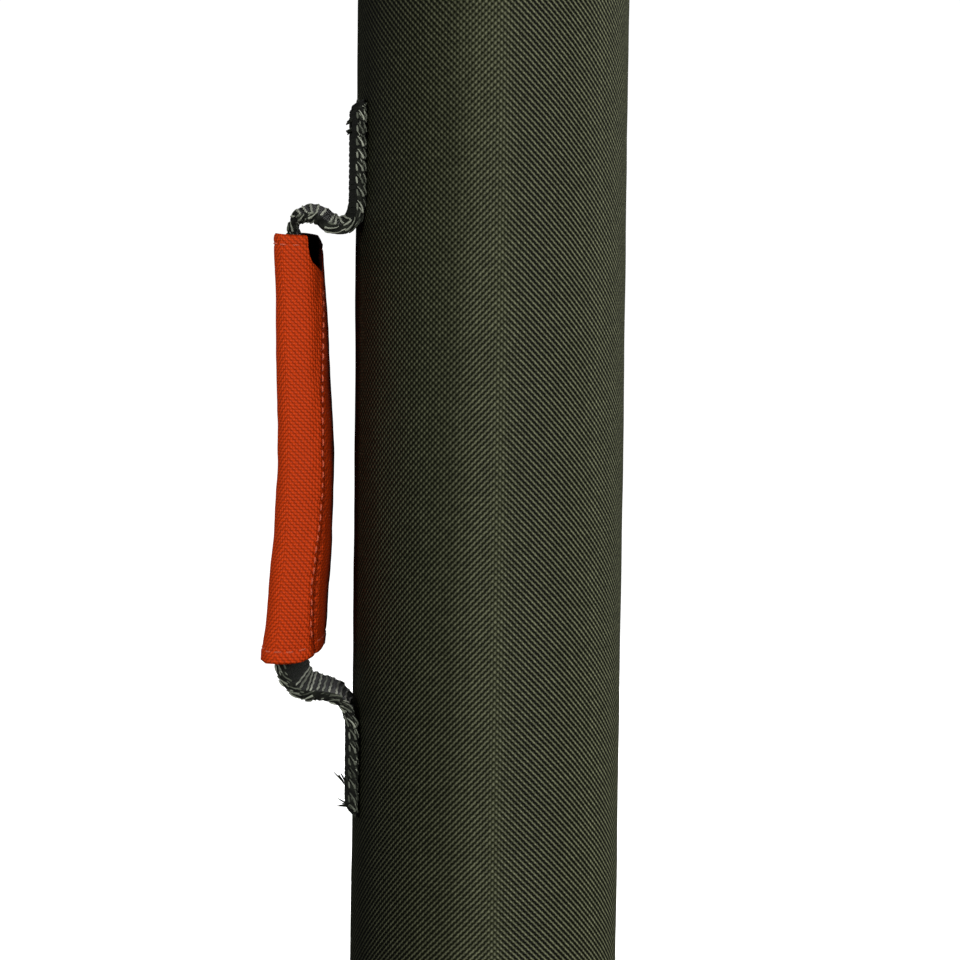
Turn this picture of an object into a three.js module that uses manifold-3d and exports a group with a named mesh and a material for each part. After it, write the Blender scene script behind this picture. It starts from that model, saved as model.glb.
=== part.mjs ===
// Rod case: a rigid tube in a woven fabric cover, with a zipped, hinged lid and a
// webbing carry handle in a padded sleeve.
// Frame: millimetres, +Z up along the tube, origin at the centre of the flat base.
// The handle is on the -X side, the lid's hinge and the cover's seam are on the +Y side.
import * as THREE from 'three';
import { mergeVertices } from 'three/addons/utils/BufferGeometryUtils.js';
import Module from 'manifold-3d';

const wasm = await Module();
wasm.setup();

// ---------------------------------------------------------------- dimensions
const HEIGHT = 790;              // base face to lid top
const GAP = 0.3;                 // between touching pieces
const SEG = 48;                  // sides of a full turn

const CORE_R_IN = 33.2;          // rigid tube
const CORE_R_OUT = 35.7;
const COVER_R_IN = 36.1;         // fabric cover over it
const COVER_R_OUT = 37.0;
const PANEL_R = 34.8;            // flat end panels
const PANEL_T = 1.2;
const PIPING_R = 36.4;           // welted seam round each end
const PIPING_RAD = 1.6;
const PIPING_Z = 2.2;
const BOARD_R = 34.4;            // stiff end boards
const BOARD_T = 3;
const BOARD_Z = PANEL_T + GAP;   // 1.5
const CORE_Z0 = BOARD_Z + BOARD_T + GAP;   // 4.8
const CORE_Z1 = 741.5;
const COVER_Z0 = 4.1;
const COVER_Z1 = 743.0;
const PAD_R = 32.9;              // foam discs
const PAD_T = 10;
const DIVIDER_T = 1.0;
const DIVIDER_HALF = 32.6;
const DIVIDER_Z0 = CORE_Z0 + PAD_T + 0.4;
const DIVIDER_Z1 = 736;

const ZIP_Z = 750;               // middle of the zip chain and height of the lid hinge
const TAPE_R_IN = 36.2;
const TAPE_R_OUT = 36.9;
const CHAIN_R_IN = 35.9;
const CHAIN_R_OUT = 37.7;
const CHAIN_HALF_GAP = 0.15;
const CHAIN_H = 1.35;
const ZIP_CLOSED_DEG = 56;       // slider's place with the zip closed
const ZIP_TRAVEL_DEG = 288;      // from there round the front to the other end
const CHAIN_A1 = 55.4;           // chain's ends
const CHAIN_A0 = -236;
const TAPE_A1 = 61.7;            // tape's ends, next to the hinge panel
const TAPE_A0 = -241.7;
const HINGE_A0 = 62.5;
const HINGE_A1 = 117.5;

const LID_Z0 = 757;              // lower edge of the lid's shell

const STRAP_W = 25;              // webbing
const STRAP_T = 2.8;
const STRAP_R_IN = COVER_R_OUT + GAP;
const STRAP_HALF_DEG = 18.6;
const STRAP_UP_DEG = 184.1;        // middle of each sewn end round the tube
const STRAP_LOW_DEG = 178.4;
const ANCHOR_UP = [468.3, 498];  // sewn lengths of the webbing, low and high
const ANCHOR_LOW = [302, 326.4];

const GRIP_Z0 = 344;             // padded sleeve
const GRIP_Z1 = 461;
const GRIP_WALL = 1.0;
const GRIP_HALF_W = 14.6;

// ---------------------------------------------------------------- materials
const mat = (color, roughness, metalness = 0) =>
  new THREE.MeshStandardMaterial({ color, roughness, metalness });
const COL = {
  cover: '#3a3c2c', piping: '#2a2b22', tape: '#2b2c24', coil: '#1d1e1a', liner: '#5c5f57',
  board: '#24262a', core: '#8d8f8b', foam: '#474a48', strap: '#454a3f', sleeve: '#a8421d',
  metal: '#6f706b', grip: '#202220',
};

// ---------------------------------------------------------------- helpers
const rad = (d) => (d * Math.PI) / 180;

function volume(g) {
  const p = g.attributes.position;
  const ix = g.index;
  const n = ix ? ix.count : p.count;
  const a = new THREE.Vector3(), b = new THREE.Vector3(), c = new THREE.Vector3();
  let v = 0;
  for (let i = 0; i < n; i += 3) {
    const [i0, i1, i2] = ix ? [ix.getX(i), ix.getX(i + 1), ix.getX(i + 2)] : [i, i + 1, i + 2];
    a.fromBufferAttribute(p, i0); b.fromBufferAttribute(p, i1); c.fromBufferAttribute(p, i2);
    v += a.dot(b.cross(c)) / 6;
  }
  return v;
}

// Merged, position-only geometry with its faces pointing out.
function clean(g) {
  g.deleteAttribute('normal');
  g.deleteAttribute('uv');
  g = mergeVertices(g, 1e-4);
  // drop triangles that merging has collapsed
  const ix = g.index.array;
  const keep = [];
  for (let i = 0; i < ix.length; i += 3) {
    if (ix[i] !== ix[i + 1] && ix[i + 1] !== ix[i + 2] && ix[i] !== ix[i + 2]) {
      keep.push(ix[i], ix[i + 1], ix[i + 2]);
    }
  }
  g.setIndex(keep);
  if (volume(g) < 0) {
    const a = g.index.array;
    for (let i = 0; i < a.length; i += 3) { const t = a[i + 1]; a[i + 1] = a[i + 2]; a[i + 2] = t; }
  }
  g.computeVertexNormals();
  return g;
}

// Solid of revolution about Z; profile is a closed list of [r, z].
function lathe(profile, closed = true, seg = SEG) {
  const pts = profile.map(([r, z]) => new THREE.Vector2(r, z));
  if (closed) pts.push(pts[0].clone());
  return clean(new THREE.LatheGeometry(pts, seg).rotateX(Math.PI / 2));
}
const ring = (r0, r1, z0, z1) => lathe([[r0, z0], [r1, z0], [r1, z1], [r0, z1]]);
const disc = (r, z0, z1) => lathe([[0, z0], [r, z0], [r, z1], [0, z1]], false);

function bead(rc, zc, rr, n = 10) {
  const p = [];
  for (let i = 0; i < n; i++) {
    const a = (i / n) * 2 * Math.PI;
    p.push([rc + rr * Math.cos(a), zc + rr * Math.sin(a)]);
  }
  return lathe(p);
}

// Part of a ring, from a0 to a1 degrees.
function sector(r0, r1, a0, a1, z0, z1, step = 4) {
  const n = Math.max(4, Math.round(Math.abs(a1 - a0) / step));
  const s = new THREE.Shape();
  for (let i = 0; i <= n; i++) {
    const a = rad(a0 + ((a1 - a0) * i) / n);
    if (i === 0) s.moveTo(r1 * Math.cos(a), r1 * Math.sin(a));
    else s.lineTo(r1 * Math.cos(a), r1 * Math.sin(a));
  }
  for (let i = n; i >= 0; i--) {
    const a = rad(a0 + ((a1 - a0) * i) / n);
    s.lineTo(r0 * Math.cos(a), r0 * Math.sin(a));
  }
  s.closePath();
  const g = new THREE.ExtrudeGeometry(s, { depth: z1 - z0, bevelEnabled: false, steps: 1 });
  return clean(g.translate(0, 0, z0));
}

const box = (x0, x1, y0, y1, z0, z1) =>
  clean(new THREE.BoxGeometry(x1 - x0, y1 - y0, z1 - z0)
    .translate((x0 + x1) / 2, (y0 + y1) / 2, (z0 + z1) / 2));

function solid(g) {
  return new wasm.Manifold(new wasm.Mesh({
    numProp: 3,
    vertProperties: new Float32Array(g.attributes.position.array),
    triVerts: new Uint32Array(g.index.array),
  }));
}
function fromSolid(m) {
  const mesh = m.getMesh();
  const g = new THREE.BufferGeometry();
  g.setAttribute('position', new THREE.BufferAttribute(new Float32Array(mesh.vertProperties), 3));
  g.setIndex(new THREE.BufferAttribute(new Uint32Array(mesh.triVerts), 1));
  return clean(g);
}

const part = new THREE.Group();
part.name = 'rod_case';
function add(name, geometry, material, place) {
  const m = new THREE.Mesh(geometry, material);
  m.name = name;
  if (place) place(m);
  part.add(m);
  return m;
}

// ---------------------------------------------------------------- tube
add('base_panel', disc(PANEL_R, 0, PANEL_T), mat(COL.cover, 0.9));
add('base_piping', bead(PIPING_R, PIPING_Z, PIPING_RAD), mat(COL.piping, 0.85));
add('base_board', disc(BOARD_R, BOARD_Z, BOARD_Z + BOARD_T), mat(COL.board, 0.6));
add('core_tube', ring(CORE_R_IN, CORE_R_OUT, CORE_Z0, CORE_Z1), mat(COL.core, 0.45));
add('cover_body', ring(COVER_R_IN, COVER_R_OUT, COVER_Z0, COVER_Z1), mat(COL.cover, 0.9));
add('base_foam', disc(PAD_R, CORE_Z0, CORE_Z0 + PAD_T), mat(COL.foam, 1));

// Cross-shaped divider that makes four cells.
{
  const h = DIVIDER_HALF, t = DIVIDER_T / 2;
  const s = new THREE.Shape();
  [[-h, -t], [-t, -t], [-t, -h], [t, -h], [t, -t], [h, -t], [h, t], [t, t], [t, h], [-t, h], [-t, t], [-h, t]]
    .forEach(([x, y], i) => (i ? s.lineTo(x, y) : s.moveTo(x, y)));
  s.closePath();
  const g = new THREE.ExtrudeGeometry(s, { depth: DIVIDER_Z1 - DIVIDER_Z0, bevelEnabled: false, steps: 1 });
  add('divider_liner', clean(g.translate(0, 0, DIVIDER_Z0)), mat(COL.liner, 0.9));
}

// Bound edge over the mouth of the rigid tube.
add('rim_binding', lathe([
  [33.0, CORE_Z1 + GAP], [35.8, CORE_Z1 + GAP], [35.8, 743.2], [35.2, 744.0], [33.6, 744.0], [33.0, 743.2],
]), mat(COL.piping, 0.85));

// ---------------------------------------------------------------- zip and lid hinge
const lowTop = ZIP_Z - CHAIN_HALF_GAP;          // 749.85
const lowBottom = lowTop - CHAIN_H;             // 748.5
const upBottom = ZIP_Z + CHAIN_HALF_GAP;        // 750.15
const upTop = upBottom + CHAIN_H;               // 751.5
add('zip_tape_lower', sector(TAPE_R_IN, TAPE_R_OUT, TAPE_A0, TAPE_A1, COVER_Z1 + GAP, lowBottom - GAP, 6), mat(COL.tape, 0.9));
add('zip_chain_lower', sector(CHAIN_R_IN, CHAIN_R_OUT, CHAIN_A0, CHAIN_A1, lowBottom, lowTop, 6), mat(COL.coil, 0.5));
add('zip_chain_upper', sector(CHAIN_R_IN, CHAIN_R_OUT, CHAIN_A0, CHAIN_A1, upBottom, upTop, 6), mat(COL.coil, 0.5));
add('zip_tape_upper', sector(TAPE_R_IN, TAPE_R_OUT, TAPE_A0, TAPE_A1, upTop + GAP, LID_Z0 - GAP, 6), mat(COL.tape, 0.9));
add('zip_stop_closed', sector(35.9, 37.5, 60.4, 61.9, lowBottom, upTop, 1), mat(COL.metal, 0.4, 0.8));
add('zip_stop_open', sector(35.9, 37.5, 121.2, 123.4, lowBottom, upTop, 1), mat(COL.metal, 0.4, 0.8));
add('lid_hinge_panel', sector(TAPE_R_IN, TAPE_R_OUT, HINGE_A0, HINGE_A1, COVER_Z1 + GAP, LID_Z0 - GAP, 4), mat(COL.cover, 0.9));

// Slider: two plates joined by a neck just past the chain's end, with a bridge for the pull.
const atZip = (m) => { m.rotation.z = rad(ZIP_CLOSED_DEG); m.position.z = ZIP_Z; };
{
  const plate = (x0, x1) => {
    const s = new THREE.Shape();
    // rounded plate outline in Y (tangential) and Z, extruded along X (radial)
    const w = 4.2, h = 4.0, c = 1.4;
    [[-w, -h + c], [-w + c, -h], [w - c, -h], [w, -h + c], [w, h - c], [w - c, h], [-w + c, h], [-w, h - c]]
      .forEach(([y, z], i) => (i ? s.lineTo(y, z) : s.moveTo(y, z)));
    s.closePath();
    const g = new THREE.ExtrudeGeometry(s, { depth: x1 - x0, bevelEnabled: false, steps: 1 });
    // shape x -> Y, shape y -> Z, depth -> X
    g.applyMatrix4(new THREE.Matrix4().makeBasis(
      new THREE.Vector3(0, 1, 0), new THREE.Vector3(0, 0, 1), new THREE.Vector3(1, 0, 0)));
    return solid(clean(g.translate(x0, 0, 0)));
  };
  const bridge = solid(box(39.2, 42.4, -0.9, 0.9, -3.6, 3.6))
    .subtract(solid(box(38.9, 41.4, -1.2, 1.2, -2.6, 2.6)));
  const body = plate(38.0, 39.4)
    .add(plate(33.9, 35.2))
    .add(solid(box(34.9, 38.3, 0.05, 2.2, -1.2, 1.2)))
    .add(bridge);
  add('zip_slider_body', fromSolid(body), mat(COL.metal, 0.35, 0.9), atZip);
}

// Pull tab: flat plate with an eye that the bridge passes through.
{
  const s = new THREE.Shape();
  [[-2.6, 0.1], [-2.1, 0.6], [2.1, 0.6], [2.6, 0.1], [2.6, -6.4], [2.0, -8.2], [2.0, -10], [3.0, -11.5], [3.0, -22.4],
    [1.8, -24], [-1.8, -24], [-3.0, -22.4], [-3.0, -11.5], [-2.0, -10], [-2.0, -8.2], [-2.6, -6.4]]
    .forEach(([y, z], i) => (i ? s.lineTo(y, z) : s.moveTo(y, z)));
  s.closePath();
  const hole = new THREE.Path();
  [[-1.4, -0.6], [-1.4, -5.0], [-0.8, -5.6], [0.8, -5.6], [1.4, -5.0], [1.4, -0.6]]
    .forEach(([y, z], i) => (i ? hole.lineTo(y, z) : hole.moveTo(y, z)));
  hole.closePath();
  s.holes.push(hole);
  const g = new THREE.ExtrudeGeometry(s, { depth: 1.0, bevelEnabled: false, steps: 1 });
  g.applyMatrix4(new THREE.Matrix4().makeBasis(
    new THREE.Vector3(0, 1, 0), new THREE.Vector3(0, 0, 1), new THREE.Vector3(1, 0, 0)));
  add('zip_pull_tab', clean(g.translate(39.9, 0, 0)), mat(COL.metal, 0.35, 0.9), atZip);
}
// Moulded grip on the tab, open at its top where the tab goes in.
{
  const outer = solid(box(39.0, 41.8, -4.2, 4.2, -26.2, -12.2));
  const slot = solid(box(39.6, 41.2, -3.3, 3.3, -24.4, -12.0));
  add('zip_pull_grip', fromSolid(outer.subtract(slot)), mat(COL.grip, 0.7), atZip);
}

// ---------------------------------------------------------------- lid
const top = (z) => HEIGHT - z;
add('lid_skirt', ring(COVER_R_IN, COVER_R_OUT, LID_Z0, top(COVER_Z0)), mat(COL.cover, 0.9));
add('lid_piping', bead(PIPING_R, top(PIPING_Z), PIPING_RAD), mat(COL.piping, 0.85));
add('lid_top_panel', disc(PANEL_R, top(PANEL_T), HEIGHT), mat(COL.cover, 0.9));
add('lid_board', disc(BOARD_R, top(BOARD_Z + BOARD_T), top(BOARD_Z)), mat(COL.board, 0.6));
add('lid_stiffener', ring(CORE_R_IN, CORE_R_OUT, LID_Z0 + 0.3, top(CORE_Z0)), mat(COL.core, 0.45));
add('lid_foam', disc(PAD_R, top(CORE_Z0 + PAD_T), top(CORE_Z0)), mat(COL.foam, 1));
add('lid_lining', disc(PAD_R, top(CORE_Z0 + PAD_T + 1.2), top(CORE_Z0 + PAD_T + GAP)), mat(COL.liner, 0.9));

// ---------------------------------------------------------------- handle webbing
add('strap_end_upper', sector(STRAP_R_IN, STRAP_R_IN + STRAP_T, STRAP_UP_DEG - STRAP_HALF_DEG, STRAP_UP_DEG + STRAP_HALF_DEG, ANCHOR_UP[0], ANCHOR_UP[1], 3), mat(COL.strap, 0.95));
add('strap_end_lower', sector(STRAP_R_IN, STRAP_R_IN + STRAP_T, STRAP_LOW_DEG - STRAP_HALF_DEG, STRAP_LOW_DEG + STRAP_HALF_DEG, ANCHOR_LOW[0], ANCHOR_LOW[1], 3), mat(COL.strap, 0.95));

// Webbing ribbon along a centreline of [x, z], its width along Y.
function ribbon(points, steps, shift, width = STRAP_W, thick = STRAP_T) {
  const c = new THREE.CatmullRomCurve3(points.map(([x, z]) => new THREE.Vector3(x, 0, z)), false, 'centripetal');
  const a = [], b = [];
  for (let i = 0; i <= steps; i++) {
    const p = c.getPointAt(i / steps), t = c.getTangentAt(i / steps);
    const nx = -t.z, nz = t.x;
    a.push([p.x + (nx * thick) / 2, p.z + (nz * thick) / 2]);
    b.push([p.x - (nx * thick) / 2, p.z - (nz * thick) / 2]);
  }
  const s = new THREE.Shape();
  [...a, ...b.reverse()].forEach(([x, z], i) => (i ? s.lineTo(x, z) : s.moveTo(x, z)));
  s.closePath();
  const g = new THREE.ExtrudeGeometry(s, { depth: width, bevelEnabled: false, steps: 1 });
  // shape x -> X, shape y -> Z, depth -> -Y
  g.applyMatrix4(new THREE.Matrix4().makeBasis(
    new THREE.Vector3(1, 0, 0), new THREE.Vector3(0, 0, 1), new THREE.Vector3(0, -1, 0)));
  return clean(g.translate(0, width / 2 + shift, 0));
}

add('strap_link_upper', ribbon([
  [-38.9, 467.9], [-39.6, 465.4], [-42.3, 463.6], [-45.6, 464.6], [-48.2, 466.9], [-50.8, 467.8], [-53.3, 466.6], [-54.1, 464.2], [-54.2, 461.6],
], 26, -1.4), mat(COL.strap, 0.95));
add('strap_link_lower', ribbon([
  [-54.7, 343.4], [-54.3, 339.6], [-51.8, 335.9], [-47.0, 334.2], [-42.4, 332.6], [-39.6, 330.0], [-38.8, 326.8],
], 24, 0.5), mat(COL.strap, 0.95));

// ---------------------------------------------------------------- padded grip
// Centre line and half thickness of the sleeve at height z.
const gripT = (z) => (z - GRIP_Z0) / (GRIP_Z1 - GRIP_Z0);
const gripX = (z) => { const t = gripT(z); return -53.9 + 3.6 * 4 * t * (1 - t) * (1 - 0.15 * (2 * t - 1)); };
const gripH = (z) => { const t = gripT(z); return 8.4 - 2.1 * t; };
function roundedRect(hx, hy, r, n = 5) {
  const p = [];
  [[hx - r, hy - r, 0], [-hx + r, hy - r, 90], [-hx + r, -hy + r, 180], [hx - r, -hy + r, 270]].forEach(([cx, cy, a0]) => {
    for (let i = 0; i <= n; i++) {
      const a = rad(a0 + (90 * i) / n);
      p.push([cx + r * Math.cos(a), cy + r * Math.sin(a)]);
    }
  });
  return p;
}
// Straight tube of the section, then bowed and tapered: unit section in X is scaled by fx(z).
function bowed(outer, inner, z0, z1, steps, fOut, fIn) {
  const s = new THREE.Shape();
  outer.forEach(([x, y], i) => (i ? s.lineTo(x, y) : s.moveTo(x, y)));
  s.closePath();
  if (inner) {
    const h = new THREE.Path();
    [...inner].reverse().forEach(([x, y], i) => (i ? h.lineTo(x, y) : h.moveTo(x, y)));
    h.closePath();
    s.holes.push(h);
  }
  const g = new THREE.ExtrudeGeometry(s, { depth: z1 - z0, bevelEnabled: false, steps });
  g.translate(0, 0, z0);
  const p = g.attributes.position;
  const isInner = (x, y) => inner && inner.some(([a, b]) => Math.abs(a - x) < 1e-4 && Math.abs(b - y) < 1e-4);
  for (let i = 0; i < p.count; i++) {
    const x = p.getX(i), y = p.getY(i), z = p.getZ(i);
    const f = isInner(x, y) ? fIn : fOut;
    p.setXYZ(i, gripX(z) + x * f(z), y, z);
  }
  return clean(g);
}
const H0 = 7.4;   // section's nominal half thickness
add('grip_sleeve', bowed(
  roundedRect(H0, GRIP_HALF_W, 5.6), roundedRect(H0 - GRIP_WALL, GRIP_HALF_W - GRIP_WALL, 4.8),
  GRIP_Z0, GRIP_Z1, 12, (z) => gripH(z) / H0, (z) => (gripH(z) - GRIP_WALL) / (H0 - GRIP_WALL),
), mat(COL.sleeve, 0.9));
add('grip_foam', bowed(
  roundedRect(H0 - 1.35, GRIP_HALF_W - 1.35, 4.4), roundedRect(1.75, STRAP_W / 2 + 0.35, 0.6, 2),
  GRIP_Z0 + 2, GRIP_Z1 - 2, 12, (z) => (gripH(z) - 1.35) / (H0 - 1.35), () => 1,
), mat(COL.foam, 1));
add('strap_core', bowed(
  roundedRect(STRAP_T / 2, STRAP_W / 2, 0.5, 1), null, GRIP_Z0 - 0.3, GRIP_Z1 + 0.3, 12, () => 1, null,
), mat(COL.strap, 0.95));

export default part;
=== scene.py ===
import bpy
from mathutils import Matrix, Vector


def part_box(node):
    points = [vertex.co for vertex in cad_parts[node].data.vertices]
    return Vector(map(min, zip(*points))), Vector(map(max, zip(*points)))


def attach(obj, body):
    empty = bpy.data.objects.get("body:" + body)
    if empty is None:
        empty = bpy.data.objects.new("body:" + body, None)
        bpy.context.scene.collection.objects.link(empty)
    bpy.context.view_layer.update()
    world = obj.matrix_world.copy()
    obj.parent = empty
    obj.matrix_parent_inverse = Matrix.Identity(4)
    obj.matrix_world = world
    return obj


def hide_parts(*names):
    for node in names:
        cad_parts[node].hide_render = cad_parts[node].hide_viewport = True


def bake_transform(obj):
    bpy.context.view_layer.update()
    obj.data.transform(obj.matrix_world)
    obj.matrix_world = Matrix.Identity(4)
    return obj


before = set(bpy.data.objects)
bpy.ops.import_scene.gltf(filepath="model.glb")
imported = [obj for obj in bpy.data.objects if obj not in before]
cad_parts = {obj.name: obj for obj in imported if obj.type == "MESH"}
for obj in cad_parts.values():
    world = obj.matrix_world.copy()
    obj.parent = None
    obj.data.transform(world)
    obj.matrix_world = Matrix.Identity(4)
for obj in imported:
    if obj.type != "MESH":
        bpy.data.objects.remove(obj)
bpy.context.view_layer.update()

import math

import bpy
import numpy as np
from mathutils import Matrix, Vector

MM = 0.001
PI = math.pi
SC = bpy.context.scene

# Measurements of the frame, in millimetres
ZIP_Z = 750.0
R_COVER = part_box("cover_body")[1].x / MM  # 37
COVER_Z = [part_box("cover_body")[k].z / MM for k in (0, 1)]
SKIRT_Z = [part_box("lid_skirt")[k].z / MM for k in (0, 1)]
TOP_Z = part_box("lid_top_panel")[1].z / MM


# ------------------------------------------------------------------ mesh helpers
class Buf:
    """Collects grids into one mesh. Points are in millimetres."""

    def __init__(self):
        self.v, self.f, self.uv, self.a, self.n = [], [], [], [], 0

    def add(self, verts, faces, uvs, attr=None):
        """faces: list of arrays of equal-sized faces; uvs: matching per-loop arrays."""
        verts = np.asarray(verts, float).reshape(-1, 3)
        for f, u in zip(faces, uvs):
            self.f += (np.asarray(f) + self.n).tolist()
            self.uv.append(np.asarray(u, float).reshape(-1, 2))
        self.v.append(verts)
        self.a.append(np.zeros(len(verts)) if attr is None else np.asarray(attr, float).ravel())
        self.n += len(verts)

    def grid(self, P, uv=None, wi=False, wj=False, flip=None, attr=None, cap0=False, cap1=False):
        P = np.asarray(P, float)
        ni, nj = P.shape[:2]
        I, J = np.meshgrid(np.arange(ni if wi else ni - 1), np.arange(nj if wj else nj - 1), indexing="ij")
        I1, J1 = (I + 1) % ni, (J + 1) % nj
        q = np.stack([I * nj + J, I1 * nj + J, I1 * nj + J1, I * nj + J1], -1).reshape(-1, 4)
        if uv is None:
            uv = np.zeros((ni + 1, nj + 1, 2))
        u = np.stack([uv[I, J], uv[I + 1, J], uv[I + 1, J + 1], uv[I, J + 1]], 2).reshape(-1, 4, 2)
        faces, uvs = [q], [u]
        # caps at the ends of i, where j wraps
        for on, row in ((cap0, 0), (cap1, ni - 1)):
            if on:
                ring = row * nj + np.arange(nj)
                if row:
                    ring = ring[::-1]
                faces.append(ring[None, :])
                uvs.append(np.array([uv[row, k % nj] for k in (ring - row * nj)])[None])
        if flip is None:
            flat = P.reshape(-1, 3) - P.reshape(-1, 3).mean(0)
            vol = 0.0
            for f in faces:
                a = flat[f[:, 0]]
                for k in range(1, f.shape[1] - 1):
                    vol += np.einsum("ij,ij->", a, np.cross(flat[f[:, k]], flat[f[:, k + 1]]))
            flip = vol < 0
        if flip:
            faces = [f[:, ::-1] for f in faces]
            uvs = [x[:, ::-1] for x in uvs]
        self.add(P, faces, uvs, attr)
        return self

    def object(self, name, mat=None, smooth=True, sharp=None):
        me = bpy.data.meshes.new(name)
        v = np.concatenate(self.v) * MM
        me.from_pydata(v.tolist(), [], self.f)
        layer = me.uv_layers.new(name="Weave")
        layer.data.foreach_set("uv", np.concatenate(self.uv).ravel().astype(np.float32))
        at = me.attributes.new("yarn", "FLOAT", "POINT")
        at.data.foreach_set("value", np.concatenate(self.a).astype(np.float32))
        me.polygons.foreach_set("use_smooth", [smooth] * len(me.polygons))
        if sharp is not None:
            me.set_sharp_from_angle(angle=math.radians(sharp))
        me.validate()
        me.update()
        ob = bpy.data.objects.new(name, me)
        SC.collection.objects.link(ob)
        if mat:
            me.materials.append(mat)
        return ob


def smoothstep(x, a, b):
    t = np.clip((np.asarray(x, float) - a) / (b - a), 0, 1)
    return t * t * (3 - 2 * t)


def waves(seed, n, lo, hi):
    """Sum of sinusoids in two variables: a smooth, seeded unevenness of about unit size. lo, hi: wavelengths in mm."""
    r = np.random.default_rng(seed)
    k = 2 * PI / r.uniform(lo, hi, n)
    d = r.uniform(0, 2 * PI, n)
    ph = r.uniform(0, 2 * PI, n)

    def f(a, b):
        out = np.zeros(np.broadcast(a, b).shape)
        for kk, dd, p in zip(k, d, ph):
            out = out + np.sin(kk * (np.cos(dd) * a + np.sin(dd) * b) + p)
        return out / math.sqrt(n)

    return f


def ring_waves(seed, n, kmax, lo, hi):
    """As waves, round a full turn: whole numbers of periods in the angle."""
    r = np.random.default_rng(seed)
    ks = r.integers(0, kmax + 1, n)
    kz = 2 * PI / r.uniform(lo, hi, n) * r.choice([-1, 1], n)
    ph = r.uniform(0, 2 * PI, n)

    def f(ang, z):
        out = np.zeros(np.broadcast(ang, z).shape)
        for k, q, p in zip(ks, kz, ph):
            out = out + np.sin(k * ang + q * z + p)
        return out / math.sqrt(n)

    return f


def lathe_buf(buf, angles, prof, offs=None, full=True, uv_r=None, uv_shift=(0, 0)):
    """Closed profile [(r, z), ...] turned about Z through the given angles (radians). offs(ang, r, z, k) adds to r."""
    prof = np.asarray(prof, float)
    A, R = np.meshgrid(angles, prof[:, 0], indexing="ij")
    _, Z = np.meshgrid(angles, prof[:, 1], indexing="ij")
    if offs is not None:
        R = R + offs(A, R, Z)
    P = np.stack([R * np.cos(A), R * np.sin(A), Z], -1)
    closed = np.vstack([prof, prof[:1]])
    s = np.concatenate([[0], np.cumsum(np.linalg.norm(np.diff(closed, axis=0), axis=1))])
    ang = np.concatenate([angles, [angles[0] + 2 * PI]]) if full else np.asarray(angles)
    ru = uv_r if uv_r else prof[:, 0].max()
    UV = np.stack(np.meshgrid(ang * ru + uv_shift[0], s + uv_shift[1], indexing="ij"), -1)
    if full:
        buf.grid(P, UV, wi=True, wj=True)
    else:
        buf.grid(P, UV, wi=False, wj=True, cap0=True, cap1=True)
    return buf


def frames(path):
    """Unit tangents of a polyline."""
    t = np.gradient(path, axis=0)
    return t / np.linalg.norm(t, axis=1)[:, None]


def catmull(points, n):
    """n points evenly spaced along a smooth curve through the given points (any dimension)."""
    p = np.asarray(points, float)
    p = np.vstack([2 * p[0] - p[1], p, 2 * p[-1] - p[-2]])
    out = []
    for i in range(1, len(p) - 2):
        t = np.linspace(0, 1, 40, endpoint=False)[:, None]
        a, b, c, d = p[i - 1], p[i], p[i + 1], p[i + 2]
        out.append(0.5 * ((2 * b) + (-a + c) * t + (2 * a - 5 * b + 4 * c - d) * t**2 + (-a + 3 * b - 3 * c + d) * t**3))
    out = np.vstack(out + [p[-2][None]])
    s = np.concatenate([[0], np.cumsum(np.linalg.norm(np.diff(out, axis=0), axis=1))])
    x = np.linspace(0, s[-1], n)
    return np.stack([np.interp(x, s, out[:, k]) for k in range(out.shape[1])], 1), s[-1]


def tube_along(buf, path, radius, sides=8, attr=1.0, taper=True):
    """Round thread along a polyline in mm; radius may be an array."""
    path = np.asarray(path, float)
    n = len(path)
    rad = np.full(n, radius, float) if np.isscalar(radius) else np.asarray(radius, float)
    t = frames(path)
    ref = np.array([0.31, 0.22, 0.93])
    u = np.cross(t, ref)
    u /= np.linalg.norm(u, axis=1)[:, None]
    w = np.cross(t, u)
    a = np.linspace(0, 2 * PI, sides, endpoint=False)
    P = path[:, None, :] + rad[:, None, None] * (u[:, None, :] * np.cos(a)[None, :, None] + w[:, None, :] * np.sin(a)[None, :, None])
    s = np.concatenate([[0], np.cumsum(np.linalg.norm(np.diff(path, axis=0), axis=1))])
    UV = np.stack(np.meshgrid(s, np.linspace(0, 2 * PI * rad.mean(), sides + 1), indexing="ij"), -1)
    buf.grid(P, UV, wj=True, cap0=True, cap1=True, attr=np.full(P.shape[:2], attr))


# One stitch: a short thread lying on the cloth, its two ends going down into it.
_ST_N, _ST_S = 7, 6


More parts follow.
